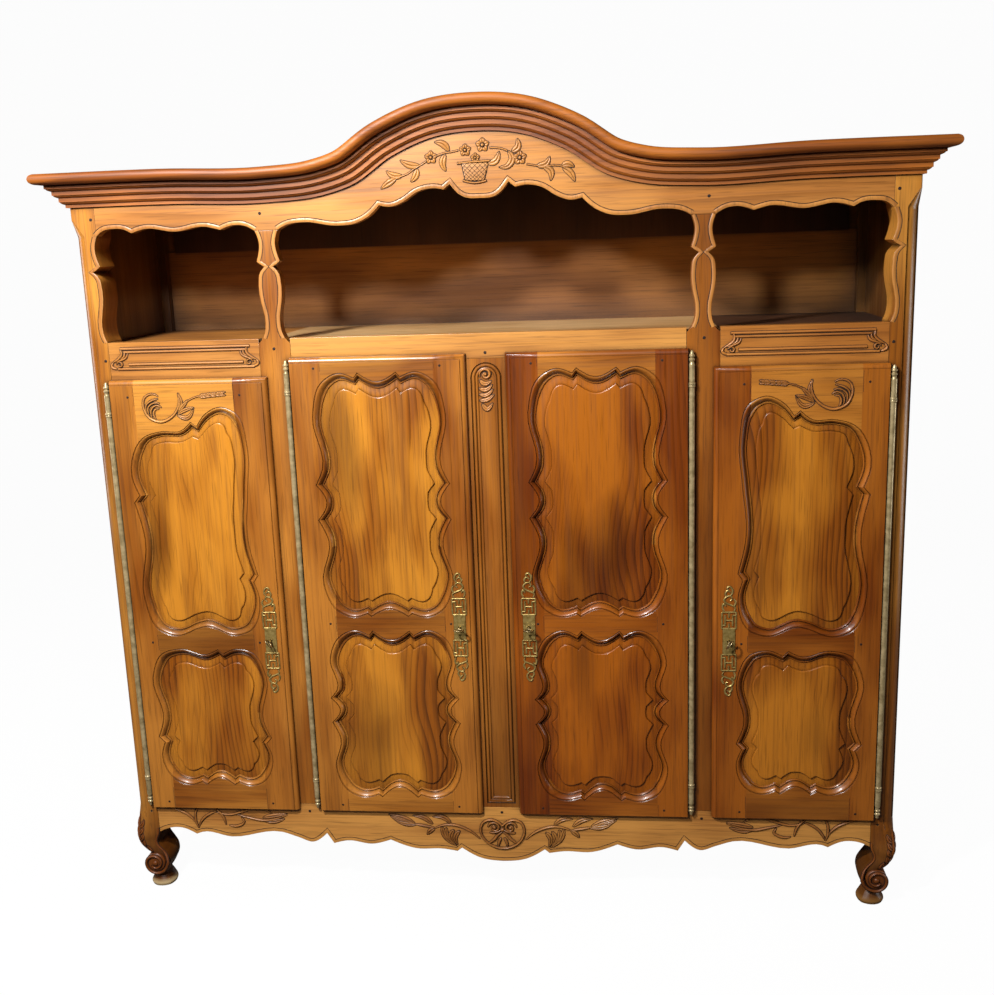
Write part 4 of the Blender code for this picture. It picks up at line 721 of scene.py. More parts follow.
def makeDoor(name, kind, side):
    body, model = "door_" + name, kind + "_right"
    (x0, front, z0), (x1, back, z1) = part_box("door_frame_" + model)
    mesh = newMesh()
    rings = []
    for step, eased, depth in door["edge"]:
        loop = rectangle(x0 + step * mm, x1 - eased * mm, z0 + eased * mm, z1 - step * mm)
        rings.append(upright(mesh, loop, front + depth * mm))
    lipBack = frontY - fit
    rings.append(upright(mesh, rectangle(x0, x1, z0, z1), lipBack))
    walls(mesh, rings)
    inner = rectangle(x0 + door["stepIn"], x1 - door["hingeIn"], z0 + door["rebate"], z1 - door["rebate"])
    steps = [upright(mesh, inner, lipBack), upright(mesh, inner, back)]
    wall(mesh, *steps)
    cover(mesh, rings[-1], steps[0])
    keyhole = circle(middleOf("lock_plate_" + model, 0), middleOf("lock_plate_" + model, 2), door["keyhole"],
                     door["keySides"])
    keyhole = [upright(mesh, keyhole, y) for y in (front, back)]
    wall(mesh, *keyhole)
    frontHoles, backHoles = [keyhole[0]], [keyhole[1]]
    for place, shape in doorShapes[kind].items():
        panelLow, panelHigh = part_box(place + "_panel_" + model)
        edge = door["panelEdge"]
        room = (panelLow[0] + edge, panelHigh[0] - edge, panelLow[2] + edge, panelHigh[2] - edge)
        middle, half = (room[0] + room[1]) / 2, (room[1] - room[0]) / 2
        tall = room[3] - room[2]
        points = [(middle - p[0] * half, room[2] + p[1] * tall, *p[2:]) for p in shape]
        loop = smoothCurve(points, door["steps"], True)
        lines = [upright(mesh, drawnIn(loop, room, step * mm), front + depth * mm) for step, depth in door["moulding"]]
        walls(mesh, lines)
        grooveY = (front + door["groove"], front + door["groove"] + door["grooveWide"])
        groove = [upright(mesh, grown(room, door["slotRoom"]), y) for y in grooveY]
        windows = [upright(mesh, grown(room, -door["backLip"]), y) for y in (grooveY[1], back)]
        wall(mesh, *groove)
        wall(mesh, *windows)
        cover(mesh, groove[0], lines[-1])
        cover(mesh, groove[1], windows[0])
        frontHoles.append(lines[0])
        backHoles.append(windows[1])
        joints = [middle - half * door["jointShare"], middle + half * door["jointShare"]]

        panel = newMesh()
        tongue, face = grown(room, edge), grooveY[0] + fit
        rim, rear = upright(panel, tongue, face), upright(panel, tongue, grooveY[1] - fit)
        wall(panel, rim, rear)
        cover(panel, rear)
        field = [upright(panel, drawnIn(loop, room, step * mm), face - rise * mm) for step, rise in door["field"]]
        cover(panel, rim, field[0])
        walls(panel, field)
        cover(panel, field[-1])
        addPiece(place + "Panel_" + name, panel, figuredWalnut, body, [place + "_panel_" + name], side,
                 door["panelToneAndShade"][name] + door["placeTone"][place])
    cover(mesh, rings[0], *frontHoles)
    cover(mesh, steps[1], *backHoles)
    # rails run between the stiles with level grain
    for x in joints:
        bmesh.ops.bisect_plane(mesh, geom=mesh.verts[:] + mesh.edges[:] + mesh.faces[:], plane_co=(x, 0, 0),
                               plane_no=(1, 0, 0))
    crossLayer, toneAndShadeLayer = mesh.faces.layers.float["crossGrain"], mesh.faces.layers.float["toneAndShade"]
    split = (high("lower_panel_" + model)[2] + low("upper_panel_" + model)[2]) / 2
    for face in mesh.faces:
        spot = face.calc_center_median()
        added = 0 if spot.x < joints[0] else door["hingeTone"]
        if joints[0] < spot.x < joints[1]:
            face[crossLayer] = 1
            above = spot.z - split
            rail = "top" if above > door["railReach"] else "middle" if above > -door["railReach"] else "bottom"
            added = door["railToneAndHighlight"][rail]
        face[toneAndShadeLayer] = door["frameToneAndShade"][name] + added
    addPiece("doorFrame_" + name, mesh, waxedWalnut, body, ["door_frame_" + name], side=side, crease=door["crease"])


for doorFacts in doorList:
    makeDoor(*doorFacts)
print("doors ready")

# hinges: turned rods with finials
hinge = {"barrel": 7 * mm, "collar": 8.5 * mm, "pin": 4 * mm, "knuckle": 82 * mm, "finial": 34 * mm, "count": 24,
         # finial: share of its length, share of the rod's radius
         "shape": ((0, .12), (.05, .42), (.14, .60), (.24, .62), (.30, .86), (.34, 1), (.44, 1), (.47, .82), (.52, .70),
                   (.57, .82), (.60, 1), (.70, 1), (.74, .84), (.79, .75), (.88, .75), (.94, .90), (1, 1)),
         # collar at a knuckle's end: share of its radius, distance from the end in mm
         "ring": ((1, 1.2), (1, 4), (0.97, 5)), "swell": 6 * mm, "lip": 0.95, "pinLip": 0.3 * mm, "neck": 0.2 * mm,
         "barrelLip": 0.4 * mm, "bore": 0.6 * mm}
for name, kind, side in doorList:
    pin, barrel = "hinge_pin_" + kind + "_right", "hinge_barrel_" + kind + "_right"
    axisX, axisY = middleOf(pin, 0), middleOf(pin, 1)

    def onAxis(across, away, height):
        return (axisX + across, axisY + away, height)

    wide, collar, knuckle = hinge["barrel"], hinge["collar"], hinge["knuckle"]
    shoulder = [(collar * share, up * mm) for share, up in hinge["ring"]] + [(wide, hinge["swell"])]
    half = [(radius * wide, share * hinge["finial"]) for share, radius in hinge["shape"]]
    half += [(radius, knuckle - up) for radius, up in reversed(shoulder)]
    half += [(collar * hinge["lip"], knuckle - hinge["pinLip"]), (hinge["pin"], knuckle - hinge["neck"])]
    profile = [(r, low(pin)[2] + up) for r, up in half] + [(r, high(pin)[2] - up) for r, up in reversed(half)]
    mesh = newMesh()
    turned(mesh, profile, hinge["count"], onAxis)
    addPiece("hingePin_" + name, mesh, dulledRod, "case", ["hinge_pin_" + name], side)
    lip = hinge["barrelLip"]
    end = [(hinge["pin"] + hinge["bore"], lip), (collar * hinge["lip"], lip)] + shoulder
    profile = [(r, low(barrel)[2] + up) for r, up in end] + [(r, high(barrel)[2] - up) for r, up in reversed(end)]
    mesh = newMesh()
    loops = [ring(mesh, [onAxis(a, b, z) for a, b in circle(0, 0, r, hinge["count"])]) for r, z in profile]
    walls(mesh, loops + loops[:1])
    addPiece("hingeBarrel_" + name, mesh, dulledRod, "door_" + name, ["hinge_barrel_" + name], side)
print("hinges ready")

# carving: rounded strands laid on a face, each ringed by a near-black line of old wax that stands for the shadow round
# it, a painted shadow; sizes in mm
waxAndShadowLine = {"wide": 1.1, "rise": 0.35, "sides": 4}
relief = {"crown": 2.4, "veinCrown": 3, "fadeFrom": 0.3, "fadePower": 0.6, "crease": 60}


def at(size, t):
    # a width or a rise is a number, or a function of the share along the strand
    return size(t) if callable(size) else size


def strand(mesh, path, width, height, place, vein=0.0, count=8, sunk=1.0):
    steps = [0.0]
    for first, second in zip(path, path[1:]):
        steps.append(steps[-1] + math.dist(first, second))
    rings = []
    for index, point in enumerate(path):
        t = steps[index] / steps[-1]
        wide, tall = at(width, t), at(height, t)
        before, after = path[max(index - 1, 0)], path[min(index + 1, len(path) - 1)]
        along = Vector((after[0] - before[0], after[1] - before[1])).normalized()

        def spot(s, rise):
            return place(point[0] - along.y * s * wide / 2, point[1] + along.x * s * wide / 2, rise)

        loop = []
        for step in range(count + 1):
            s = 2 * step / count - 1
            rise = tall * (1 - abs(s) ** relief["crown"]) * (1 - vein * (1 - abs(s)) ** relief["veinCrown"])
            loop.append(spot(s, rise))
        rings.append(ring(mesh, loop + [spot(1, -sunk), spot(-1, -sunk)]))
    stack(mesh, rings)


def newCarving():
    # the relief in wood, and a near-black outline round it of wax and painted shadow
    return {"relief": newMesh(), "line": newMesh()}


def addCarving(name, carving, body, side=1, toneAndShade=0.5, across=True):
    addPiece(name, carving["relief"], carvedWalnut, body, side=side, toneAndShade=toneAndShade, across=across, crease=relief["crease"])
    addPiece(name + "Line", carving["line"], waxAndPaintedShadow, body, side=side, across=across, crease=relief["crease"])


def carve(carving, path, width, height, place, vein=0.0, count=8, sunk=1.0):
    strand(carving["relief"], path, width, height, place, vein, count, sunk)
    # a wider, low, near-black strand under each strand: its outline of wax and painted shadow
    wide = waxAndShadowLine["wide"]
    first, last = [Vector(path[i]) + (Vector(path[i]) - Vector(path[j])).normalized() * wide
                   for i, j in ((0, 1), (-1, -2))]
    strand(carving["line"], [tuple(first)] + list(path) + [tuple(last)], lambda t: at(width, t) + 2 * wide,
           waxAndShadowLine["rise"], place, 0, waxAndShadowLine["sides"])


def stem(carving, points, width, height, place, steps=6, closed=False):
    path = smoothCurve(points, steps, closed)
    carve(carving, path + path[:2] if closed else path, width, height, place)


def taper(carving, points, width, height, place, steps=6, sunk=1.0):
    # strand that fades out at both ends
    start = relief["fadeFrom"]

    def fading(size):
        return lambda t: size * (start + (1 - start) * math.sin(math.pi * t) ** relief["fadePower"])

    carve(carving, smoothCurve(points, steps), fading(width), fading(height), place, sunk=sunk)


leafShape = {"steps": 8, "sides": 12, "stalk": 0.6, "belly": 0.8, "fullness": 0.75, "edge": 0.35, "vein": 0.8}


def leaf(carving, points, width, height, place, vein=leafShape["vein"]):
    # leaf from its base to its tip with a hollowed vein
    edge = leafShape["edge"]

    def outline(t):
        swell = max(math.sin(math.pi * t ** leafShape["belly"]), 0)
        return leafShape["stalk"] + width * swell ** leafShape["fullness"]

    carve(carving, smoothCurve(points, leafShape["steps"]), outline,
          lambda t: height * (edge + (1 - edge) * math.sin(math.pi * t)), place, vein, leafShape["sides"])


# dome: share of the radius, share of the height; its foot is sunk by 1 mm
domeShape = {"sides": 16, "foot": 1.0, "curve": ((1, 0), (0.92, 0.45), (0.7, 0.78), (0.4, 0.95), (0.05, 1))}


def dome(mesh, x, z, radius, height, place):
    shape = ((1, -domeShape["foot"] / height),) + domeShape["curve"]
    stack(mesh, [ring(mesh, [place(x + a, z + b, up * height)
                             for a, b in circle(0, 0, share * radius, domeShape["sides"])]) for share, up in shape])


blossom = {"petals": 5, "along": (0.2, 0.6, 1), "width": 0.85, "rise": 4, "vein": 0.6, "ring": (0.42, 4),
           "eye": (0.27, 5.2)}


def flower(carving, x, z, radius, place):
    for petal in range(blossom["petals"]):
        turn = math.pi * (0.5 + 2 * petal / blossom["petals"])
        points = [(x + share * radius * math.cos(turn), z + share * radius * math.sin(turn))
                  for share in blossom["along"]]
        leaf(carving, points, radius * blossom["width"], blossom["rise"], place, blossom["vein"])
    # a near-black ring round the eye as painted shadow, then the eye
    for mesh, (share, rise) in ((carving["line"], blossom["ring"]), (carving["relief"], blossom["eye"])):
        dome(mesh, x, z, radius * share, rise, place)


def spiral(x, z, outer, inner, start, turns, count=40):
    points = []
    for step in range(count + 1):
        t = step / count
        radius = outer + (inner - outer) * t ** 0.85  # coils lie a little closer near the eye
        turn = math.radians(start) + 2 * math.pi * turns * t
        points.append((x + radius * math.cos(turn), z + radius * math.sin(turn)))
    return points


def onFace(y):
    return lambda a, b, rise: (a * mm, y - rise * mm, b * mm)


face = onFace(frontY)
# frieze: sprays either side of a basket of flowers; sizes are (width, rise)
frieze = {"stem": (3.6, 2.4), "leaf": (15, 3.6), "rim": (5, 4.6), "cut": (1.8, 3.2), "toneAndShade": 0.9,
          "stems": (((-46, 1909), (-65, 1906), (-81, 1904), (-98, 1898)),
                    ((-122, 1887), (-137, 1879), (-151, 1872), (-166, 1862), (-183, 1856), (-195, 1852)),
                    ((29, 1912), (52, 1910), (69, 1904)),
                    ((114, 1872), (135, 1868), (153, 1866), (176, 1867), (195, 1864), (206, 1857))),
          "leaves": (((-67, 1909), (-79, 1924), (-100, 1930)), ((-137, 1879), (-158, 1880), (-183, 1893)),
                     ((-76, 1902), (-83, 1883), (-76, 1864)), ((-144, 1872), (-148, 1856), (-160, 1843)),
                     ((-180, 1858), (-199, 1858), (-217, 1870)), ((-195, 1852), (-212, 1843), (-232, 1830)),
                     ((23, 1877), (41, 1882), (50, 1903)), ((71, 1903), (80, 1885), (70, 1870), (49, 1868)),
                     ((79, 1901), (94, 1911), (93, 1930)), ((137, 1868), (158, 1871), (167, 1887)),
                     ((151, 1865), (169, 1854), (168, 1833)), ((195, 1865), (209, 1868), (223, 1861)),
                     ((197, 1860), (213, 1850), (224, 1829))),
          "flowers": ((-110, 1896, 15), (-29, 1909, 14), (12, 1919, 16), (-6, 1891, 11), (98, 1887, 16)),
          "basket": ((-31, 1841), (13, 1839), (24, 1880), (-38, 1880)), "lattice": 5, "lean": 4,
          # basket's body and the dark line round it, a painted shadow: distance in, rise
          "body": {"line": ((-2, -1), (-2, 0), (-1, 0.4)), "relief": ((0, -1), (0, 1.6), (1.5, 2.6))},
          "rims": (((-48, 1880), (-12, 1882), (28, 1883)), ((-36, 1841), (-9, 1835), (18, 1839)))}
carving = newCarving()
for points in frieze["stems"]:
    stem(carving, points, *frieze["stem"], face)
for points in frieze["leaves"]:
    leaf(carving, points, *frieze["leaf"], face)
for x, z, radius in frieze["flowers"]:
    flower(carving, x, z, radius, face)
basket = frieze["basket"]
for kind, steps in frieze["body"].items():
    stack(carving[kind], [ring(carving[kind], [face(x, z, rise) for x, z in inward(basket, step)])
                          for step, rise in steps])


def inBasket(u, v):
    bottom = Vector(basket[0]).lerp(Vector(basket[1]), u)
    return tuple(bottom.lerp(Vector(basket[3]).lerp(Vector(basket[2]), u), v))


count, span = frieze["lattice"], frieze["lean"]
for index in range(1 - span, count):
    for lean in (1, -1):
        # each cut of the lattice, a near-black line of wax and painted shadow, stops at the basket's sides
        shares = max(index, 0) / count, min(index + span, count) / count
        ends = [inBasket(u if lean == 1 else 1 - u, (u * count - index) / span) for u in shares]
        strand(carving["line"], ends, *frieze["cut"], face, 0, waxAndShadowLine["sides"])
for points in frieze["rims"]:
    stem(carving, points, *frieze["rim"], face)
addCarving("friezeCarving", carving, "case", toneAndShade=frieze["toneAndShade"])

# near-black line of wax and painted shadow, and bead, along the niche edges, and the same line along the apron
scratch = {"waxAndShadowLine_": {"finish": waxAndPaintedShadow, "size": (1.8, 0.3), "inset": 10 * mm},
           "bead_": {"finish": carvedWalnut, "size": (7.6, 0.7), "inset": 5 * mm},
           "stop": corniceLow + arch["rise"] - 20 * mm, "toneAndShade": 0.7, "sides": 6}
for side, word in sides:
    for kind in ("waxAndShadowLine_", "bead_"):
        finish, size, step = scratch[kind].values()
        mesh = newMesh()
        lines = [[(x, z) for x, z in beside(lowerLine, step) if z < scratch["stop"]], beside(sideLine, step)]
        for start, turn, away in ((postInside, -1, step), (stileOutside - inset, 1, -step),
                                  (stileInside + inset, -1, step)):
            lines.append([(start + turn * added + away, z) for z, added in nicheEdge])
        if kind == "waxAndShadowLine_":
            lines.append(beside(apronEdge, step))
        for line in lines:
            strand(mesh, [(x / mm, z / mm) for x, z in line], *size, face, 0, scratch["sides"])
        addPiece(kind + word, mesh, finish, "case", side=side, toneAndShade=scratch["toneAndShade"], crease=relief["crease"])

# carving on the outer doors: scroll, acanthus fingers, leaf and wheat ear
doorCarving = {"scroll": ((768, 1360), (768, 1338), (773, 1321), (784, 1306), (801, 1294), (818, 1289), (834, 1292),
                          (849, 1301), (858, 1317), (861, 1335), (856, 1350), (843, 1358), (829, 1358), (821, 1353)),
               "fingers": (((854, 1312), (853, 1331), (841, 1341), (830, 1345), (822, 1347)),
                           ((848, 1305), (848, 1326), (839, 1334), (828, 1337), (819, 1335)),
                           ((841, 1299), (842, 1316), (835, 1327), (824, 1330), (815, 1325)),
                           ((832, 1296), (836, 1310), (831, 1320), (821, 1322))),
               "leaves": (((771, 1315), (764, 1337), (770, 1360)), ((771, 1315), (755, 1332), (744, 1343)),
                          ((775, 1307), (753, 1318), (731, 1323)), ((775, 1305), (752, 1297), (732, 1320))),
               "ear": ((772, 1313), (755, 1333), (738, 1344), (721, 1350), (699, 1353), (673, 1355), (652, 1357)),
               "band": (7, 4), "finger": (5.6, 4), "leaf": (10, 3.6), "stalk": (3.4, 2.4), "grain": (4.5, 3.4),
               "grains": 11, "firstGrain": 20, "earSteps": 6, "grainShape": ((0, 0), (-5, 3), (-12, 4)),
               "grainVein": 0.3}
doorFace = onFace(low("door_frame_outer_right")[1])
for side, word in sides:
    carving = newCarving()
    taper(carving, doorCarving["scroll"], *doorCarving["band"], doorFace)
    for points in doorCarving["fingers"]:
        taper(carving, points, *doorCarving["finger"], doorFace)
    for points in doorCarving["leaves"]:
        leaf(carving, points, *doorCarving["leaf"], doorFace)
    ear = smoothCurve(doorCarving["ear"], doorCarving["earSteps"])
    carve(carving, ear, *doorCarving["stalk"], doorFace)
    first, count = doorCarving["firstGrain"], doorCarving["grains"]
    for index in range(count):
        x, z = ear[first + int(index * (len(ear) - first - 1) / count)]
        for lean in (1, -1):
            points = [(x + a, z + b * lean) for a, b in doorCarving["grainShape"]]
            leaf(carving, points, *doorCarving["grain"], doorFace, doorCarving["grainVein"])
    addCarving("doorCarving_" + word, carving, "door_outer_" + word, side, rails["carvedToneAndShade"][word])

# cartouche on the rails under the side niches: two pairs of reeds between scrolled leaves
cartouche = {"bands": (((912, 1471), (582, 1471)), ((903, 1463), (592, 1463)), ((893, 1432), (600, 1432)),
                       ((922, 1421), (572, 1421))),
             "ends": (((912, 1471), (910, 1456), (921, 1445), (934, 1438)),
                      ((894, 1460), (899, 1450), (913, 1443), (927, 1439)),
                      ((934, 1438), (938, 1429), (924, 1421)), ((902, 1463), (904, 1452), (915, 1446))),
             "band": (7, 3.4), "end": (7, 4.2), "eye": (916, 1432), "coil": (9, 2), "turns": 1.2,
             "coilSize": (4.5, 4.5)}
middleX = (stileOutside + postInside) / 2 / mm
for side, word in sides:
    carving = newCarving()
    for points in cartouche["bands"]:
        carve(carving, points, *cartouche["band"], face)
    for turn in (1, -1):
        # the second end is the first one mirrored about the rail's middle
        shift = 0 if turn == 1 else 2 * middleX
        for points in cartouche["ends"]:
            taper(carving, [(shift + turn * x, z) for x, z in points], *cartouche["end"], face)
        x, z = cartouche["eye"]
        coil = spiral(shift + turn * x, z, *cartouche["coil"], 90 - turn * 90, turn * cartouche["turns"])
        taper(carving, coil, *cartouche["coilSize"], face, 1)
    addCarving("railCarving_" + word, carving, "case", side, rails["carvedToneAndShade"][word])
    outline = rectangle(stileOutside + fit, postInside - fit, low("carved_rail_right")[2], sillZ)
    addPiece("carvedRail_" + word, softSlab(outline, rails["carvedSoft"]), paleWalnut, "case", ["carved_rail_" + word],
             side=side, across=True, toneAndShade=rails["carvedToneAndShade"][word])

# acanthus at the head of the centre stile
acanthus = {"lobes": (((-16, 1374), (-4, 1364), (13, 1371)), ((-18, 1354), (-4, 1349), (15, 1362)),
                      ((-18, 1339), (-4, 1336), (16, 1351)), ((-18, 1324), (-4, 1324), (18, 1338)),
                      ((-12, 1316), (0, 1302), (14, 1317))),
            "lobe": (11, 4), "vein": 0.5, "eye": (-1, 1387), "coil": (16, 3, 200, -1.4), "coilSize": (8, 5),
            "boss": (4, 5.5), "depth": 5 * mm}
sunkFace = onFace(frontY + acanthus["depth"])
carving = newCarving()
taper(carving, spiral(*acanthus["eye"], *acanthus["coil"]), *acanthus["coilSize"], sunkFace, 1)
dome(carving["relief"], *acanthus["eye"], *acanthus["boss"], sunkFace)
for points in acanthus["lobes"]:
    leaf(carving, points, *acanthus["lobe"], sunkFace, acanthus["vein"])
addCarving("stileCarving", carving, "case", across=False)

# apron: shell in the middle, leaf sprays beside it and ribbon leaves at the ends
apron = {"shell": ((0, 197), (8, 204), (30, 213), (50, 205), (58, 183), (50, 157), (28, 138), (0, 131)),
         "legs": (((0, 179), (12, 170), (22, 157), (38, 145)), ((4, 161), (10, 149), (12, 137)),
                  ((3, 184), (14, 179), (34, 175))),
         "ribbons": (((61, 157), (85, 178), (106, 189), (132, 196), (162, 193), (181, 185)),
                     ((234, 196), (205, 191), (181, 186)),
                     ((922, 232), (889, 226), (858, 211), (839, 191), (832, 173)),
                     ((827, 235), (836, 216), (837, 192), (831, 172)), ((831, 173), (813, 202), (792, 216), (776, 222)),
                     ((781, 231), (761, 210), (753, 183)),
                     ((777, 219), (741, 213), (703, 223), (665, 234), (638, 228), (624, 218)),
                     ((722, 214), (686, 205), (649, 198), (607, 205), (582, 215)),
                     ((708, 205), (702, 192), (720, 180), (744, 181))),
         "leaves": (((162, 191), (155, 164), (124, 135)), ((130, 182), (139, 161), (129, 142)),
                    ((114, 179), (127, 159), (121, 138)), ((150, 187), (150, 164), (132, 137)),
                    ((181, 185), (193, 177), (202, 166)), ((137, 200), (158, 217), (185, 218)),
                    ((186, 197), (212, 216), (238, 220)), ((234, 196), (266, 203), (299, 217)),
                    ((234, 198), (266, 213), (303, 223)), ((230, 194), (262, 197), (290, 209)),
                    ((649, 205), (621, 211), (581, 218)), ((649, 197), (622, 195), (589, 203))),
         "rim": (6, 5), "leg": (8, 5), "ribbon": (6.5, 4.2), "leaf": (13, 4.6), "eye": (21, 191), "coil": (17, 4),
         "turns": 1.3, "coilSize": (8, 5.5), "boss": (5, 6), "knot": (0, 185, 6, 6), "toneAndShade": 0.8}
carving = newCarving()
for turn in (1, -1):
    for kind, draw, size in (("legs", taper, apron["leg"]), ("ribbons", taper, apron["ribbon"]),
                             ("leaves", leaf, apron["leaf"])):
        for points in apron[kind]:
            draw(carving, [(turn * x, z) for x, z in points], *size, face)
    x, z = turn * apron["eye"][0], apron["eye"][1]
    coil = spiral(x, z, *apron["coil"], 90 - turn * 90, turn * apron["turns"])
    taper(carving, coil, *apron["coilSize"], face, 1)
    dome(carving["relief"], x, z, *apron["boss"], face)
stem(carving, mirroredHalf(apron["shell"]), *apron["rim"], face, closed=True)
dome(carving["relief"], *apron["knot"], face)
addCarving("apronCarving", carving, "case", toneAndShade=apron["toneAndShade"])

# front feet: a snail volute, a rolled rim down the inner edge and a leaf round the knee
footCarving = {"eye": (960, 69), "radius": 28, "reach": 12, "sides": 32, "toneAndShade": 0.12,
               # the snail's body: share of its radius, depth behind its face
               "body": ((0.1, 0), (0.6, 0.4), (0.85, 1.2), (0.95, 3), (1, 7), (1, 40)),
               "coil": (35, 11, 180, 1.4, 60), "coilWide": (8.5, -2), "coilRise": (4, 1.5), "coilSunk": 14,
               "boss": (7.5, 5), "rim": (7, 3.5), "rimMiddle": 3.5, "rimRun": range(168, 60, -6), "rimSunk": 4,
               "swellTop": 115, "swellRun": 40, "swellPower": 1.5,
               # knee leaf: distance round the corner and height of each lobe's foot
               "rib": ((20, 206), (21, 170), (19, 135), (12, 100)), "ribSize": (8, 4.5), "ribSunk": 3,
               "lobes": ((20, 186), (21, 168), (20, 150), (19, 132), (16, 114)), "lobe": (11, 5), "lobeVein": 0.7,
               "lobeShape": ((0, -14), (9, -8), (15, 8))}


def footAt(height):
    for lower, upper in zip(footRows, footRows[1:]):
        if height <= upper[0]:
            t = (height - lower[0]) / (upper[0] - lower[0])
            return [a + (b - a) * t for a, b in zip(lower, upper)]
    return footRows[-1]


def onKnee(a, b, rise):
    # a runs round the foot's outer corner, from the front face to the side
    row = footAt(b)
    radius = footCorner(row)
    turn = min(max(a / radius, 0), math.pi / 2)
    x = caseHalf + (row[1] - radius + (radius + rise) * math.sin(turn) + min(a, 0)) * mm
    y = frontY + (radius - row[3] - (radius + rise) * math.cos(turn) + max(a - radius * math.pi / 2, 0)) * mm
    return (x, y, b * mm)


def onRim(a, b, rise):
    # a runs from the foot's inner edge outwards; lower down the rim swells forward to the volute
    row = footAt(b)
    share = min(max((footCarving["swellTop"] - b) / footCarving["swellRun"], 0), 1)
    swell = footCarving["reach"] * share ** footCarving["swellPower"]
    return (postInside + (a - row[2]) * mm, frontY - (max(row[4], swell) + rise) * mm, b * mm)


for side, word in sides:
    carving = newCarving()
    x, z = footCarving["eye"]
    front = frontY - footCarving["reach"] * mm
    body = [(share * (footCarving["radius"] * mm), along * mm) for share, along in footCarving["body"]]
    turned(carving["relief"], body, footCarving["sides"], lambda a, b, along: (x * mm + a, front + along, z * mm + b))
    snail = onFace(front)
    (wide, narrower), (rise, higher) = footCarving["coilWide"], footCarving["coilRise"]
    carve(carving, spiral(x, z, *footCarving["coil"]), lambda t: wide + narrower * t, lambda t: rise + higher * t,
          snail, sunk=footCarving["coilSunk"])
    dome(carving["relief"], x, z, *footCarving["boss"], snail)
    carve(carving, [(footCarving["rimMiddle"], height) for height in footCarving["rimRun"]], *footCarving["rim"], onRim,
          sunk=footCarving["rimSunk"])
    taper(carving, footCarving["rib"], *footCarving["ribSize"], onKnee, sunk=footCarving["ribSunk"])
    for a, b in footCarving["lobes"]:
        for lean in (1, -1):
            points = [(a + lean * out, b + up) for out, up in footCarving["lobeShape"]]
            leaf(carving, points, *footCarving["lobe"], onKnee, footCarving["lobeVein"])
    addCarving("footCarving_" + word, carving, "case", side, footCarving["toneAndShade"], False)
print("carving ready")

# lock plates: a plain middle with the keyhole, frets and scrolls above and below; keys with oval bows
plate = {"bar": 4.6, "rise": 2.0, "middle": (-15, 15, -33, 33), "keyhole": 4.2, "keySides": 16,
         # the middle's edge: rise, distance in
         "edge": ((0, 0), (1.4, 0), (1.9, 0.6)), "bridge": (30, 36), "bridgeSize": (10, 1.6), "pin": (9, 12, 2, 2),
         "scrollSteps": 5, "scrollEnd": 0.75, "scrollSwell": 0.4, "crease": 50,
         # (across, up) from the keyhole in mm: upper half, drawn again below
         "frets": (((-17, 34), (17, 34)), ((-17, 34), (-17, 76)), ((17, 34), (17, 76)), ((-17, 76), (17, 76)),
                   ((-9, 42), (-9, 69)), ((9, 41), (9, 68)), ((-9, 55), (9, 55)), ((-17, 42), (-9, 42)),
                   ((9, 68), (17, 68)), ((0, 34), (0, 47)), ((0, 63), (0, 76))),
         "scrolls": (((12, 79), (15, 88), (6, 94), (-6, 99), (-12, 107), (-6, 116), (4, 117), (7, 110), (2, 106)),
                     ((-12, 79), (-16, 90), (-13, 98), (-8, 92)), ((-6, 116), (-9, 124), (-3, 132), (3, 127)),
                     ((2, 118), (8, 126), (7, 136), (0, 142), (-5, 138), (-2, 133)), ((12, 92), (16, 100), (12, 110)))}
keyShape = {"shank": 3 * mm, "standout": 14 * mm, "bowWide": 14 * mm, "bowDeep": 10 * mm, "wire": 2.4 * mm,
            "lean": {"inner": 0, "outer": 52}, "shankSides": 16, "bowSteps": 32, "wireSides": 10, "oval": 1.9,
            "flat": 0.7,
            # shank from its front end: share of its radius, distance in mm
            "collar": ((0.8, 0), (1, 0.6), (1.35, 2), (1.35, 4), (1, 5)),
            "bitHalf": 1.2 * mm, "bitTop": 0.6, "bitEnds": (8 * mm, 0.6 * mm)}
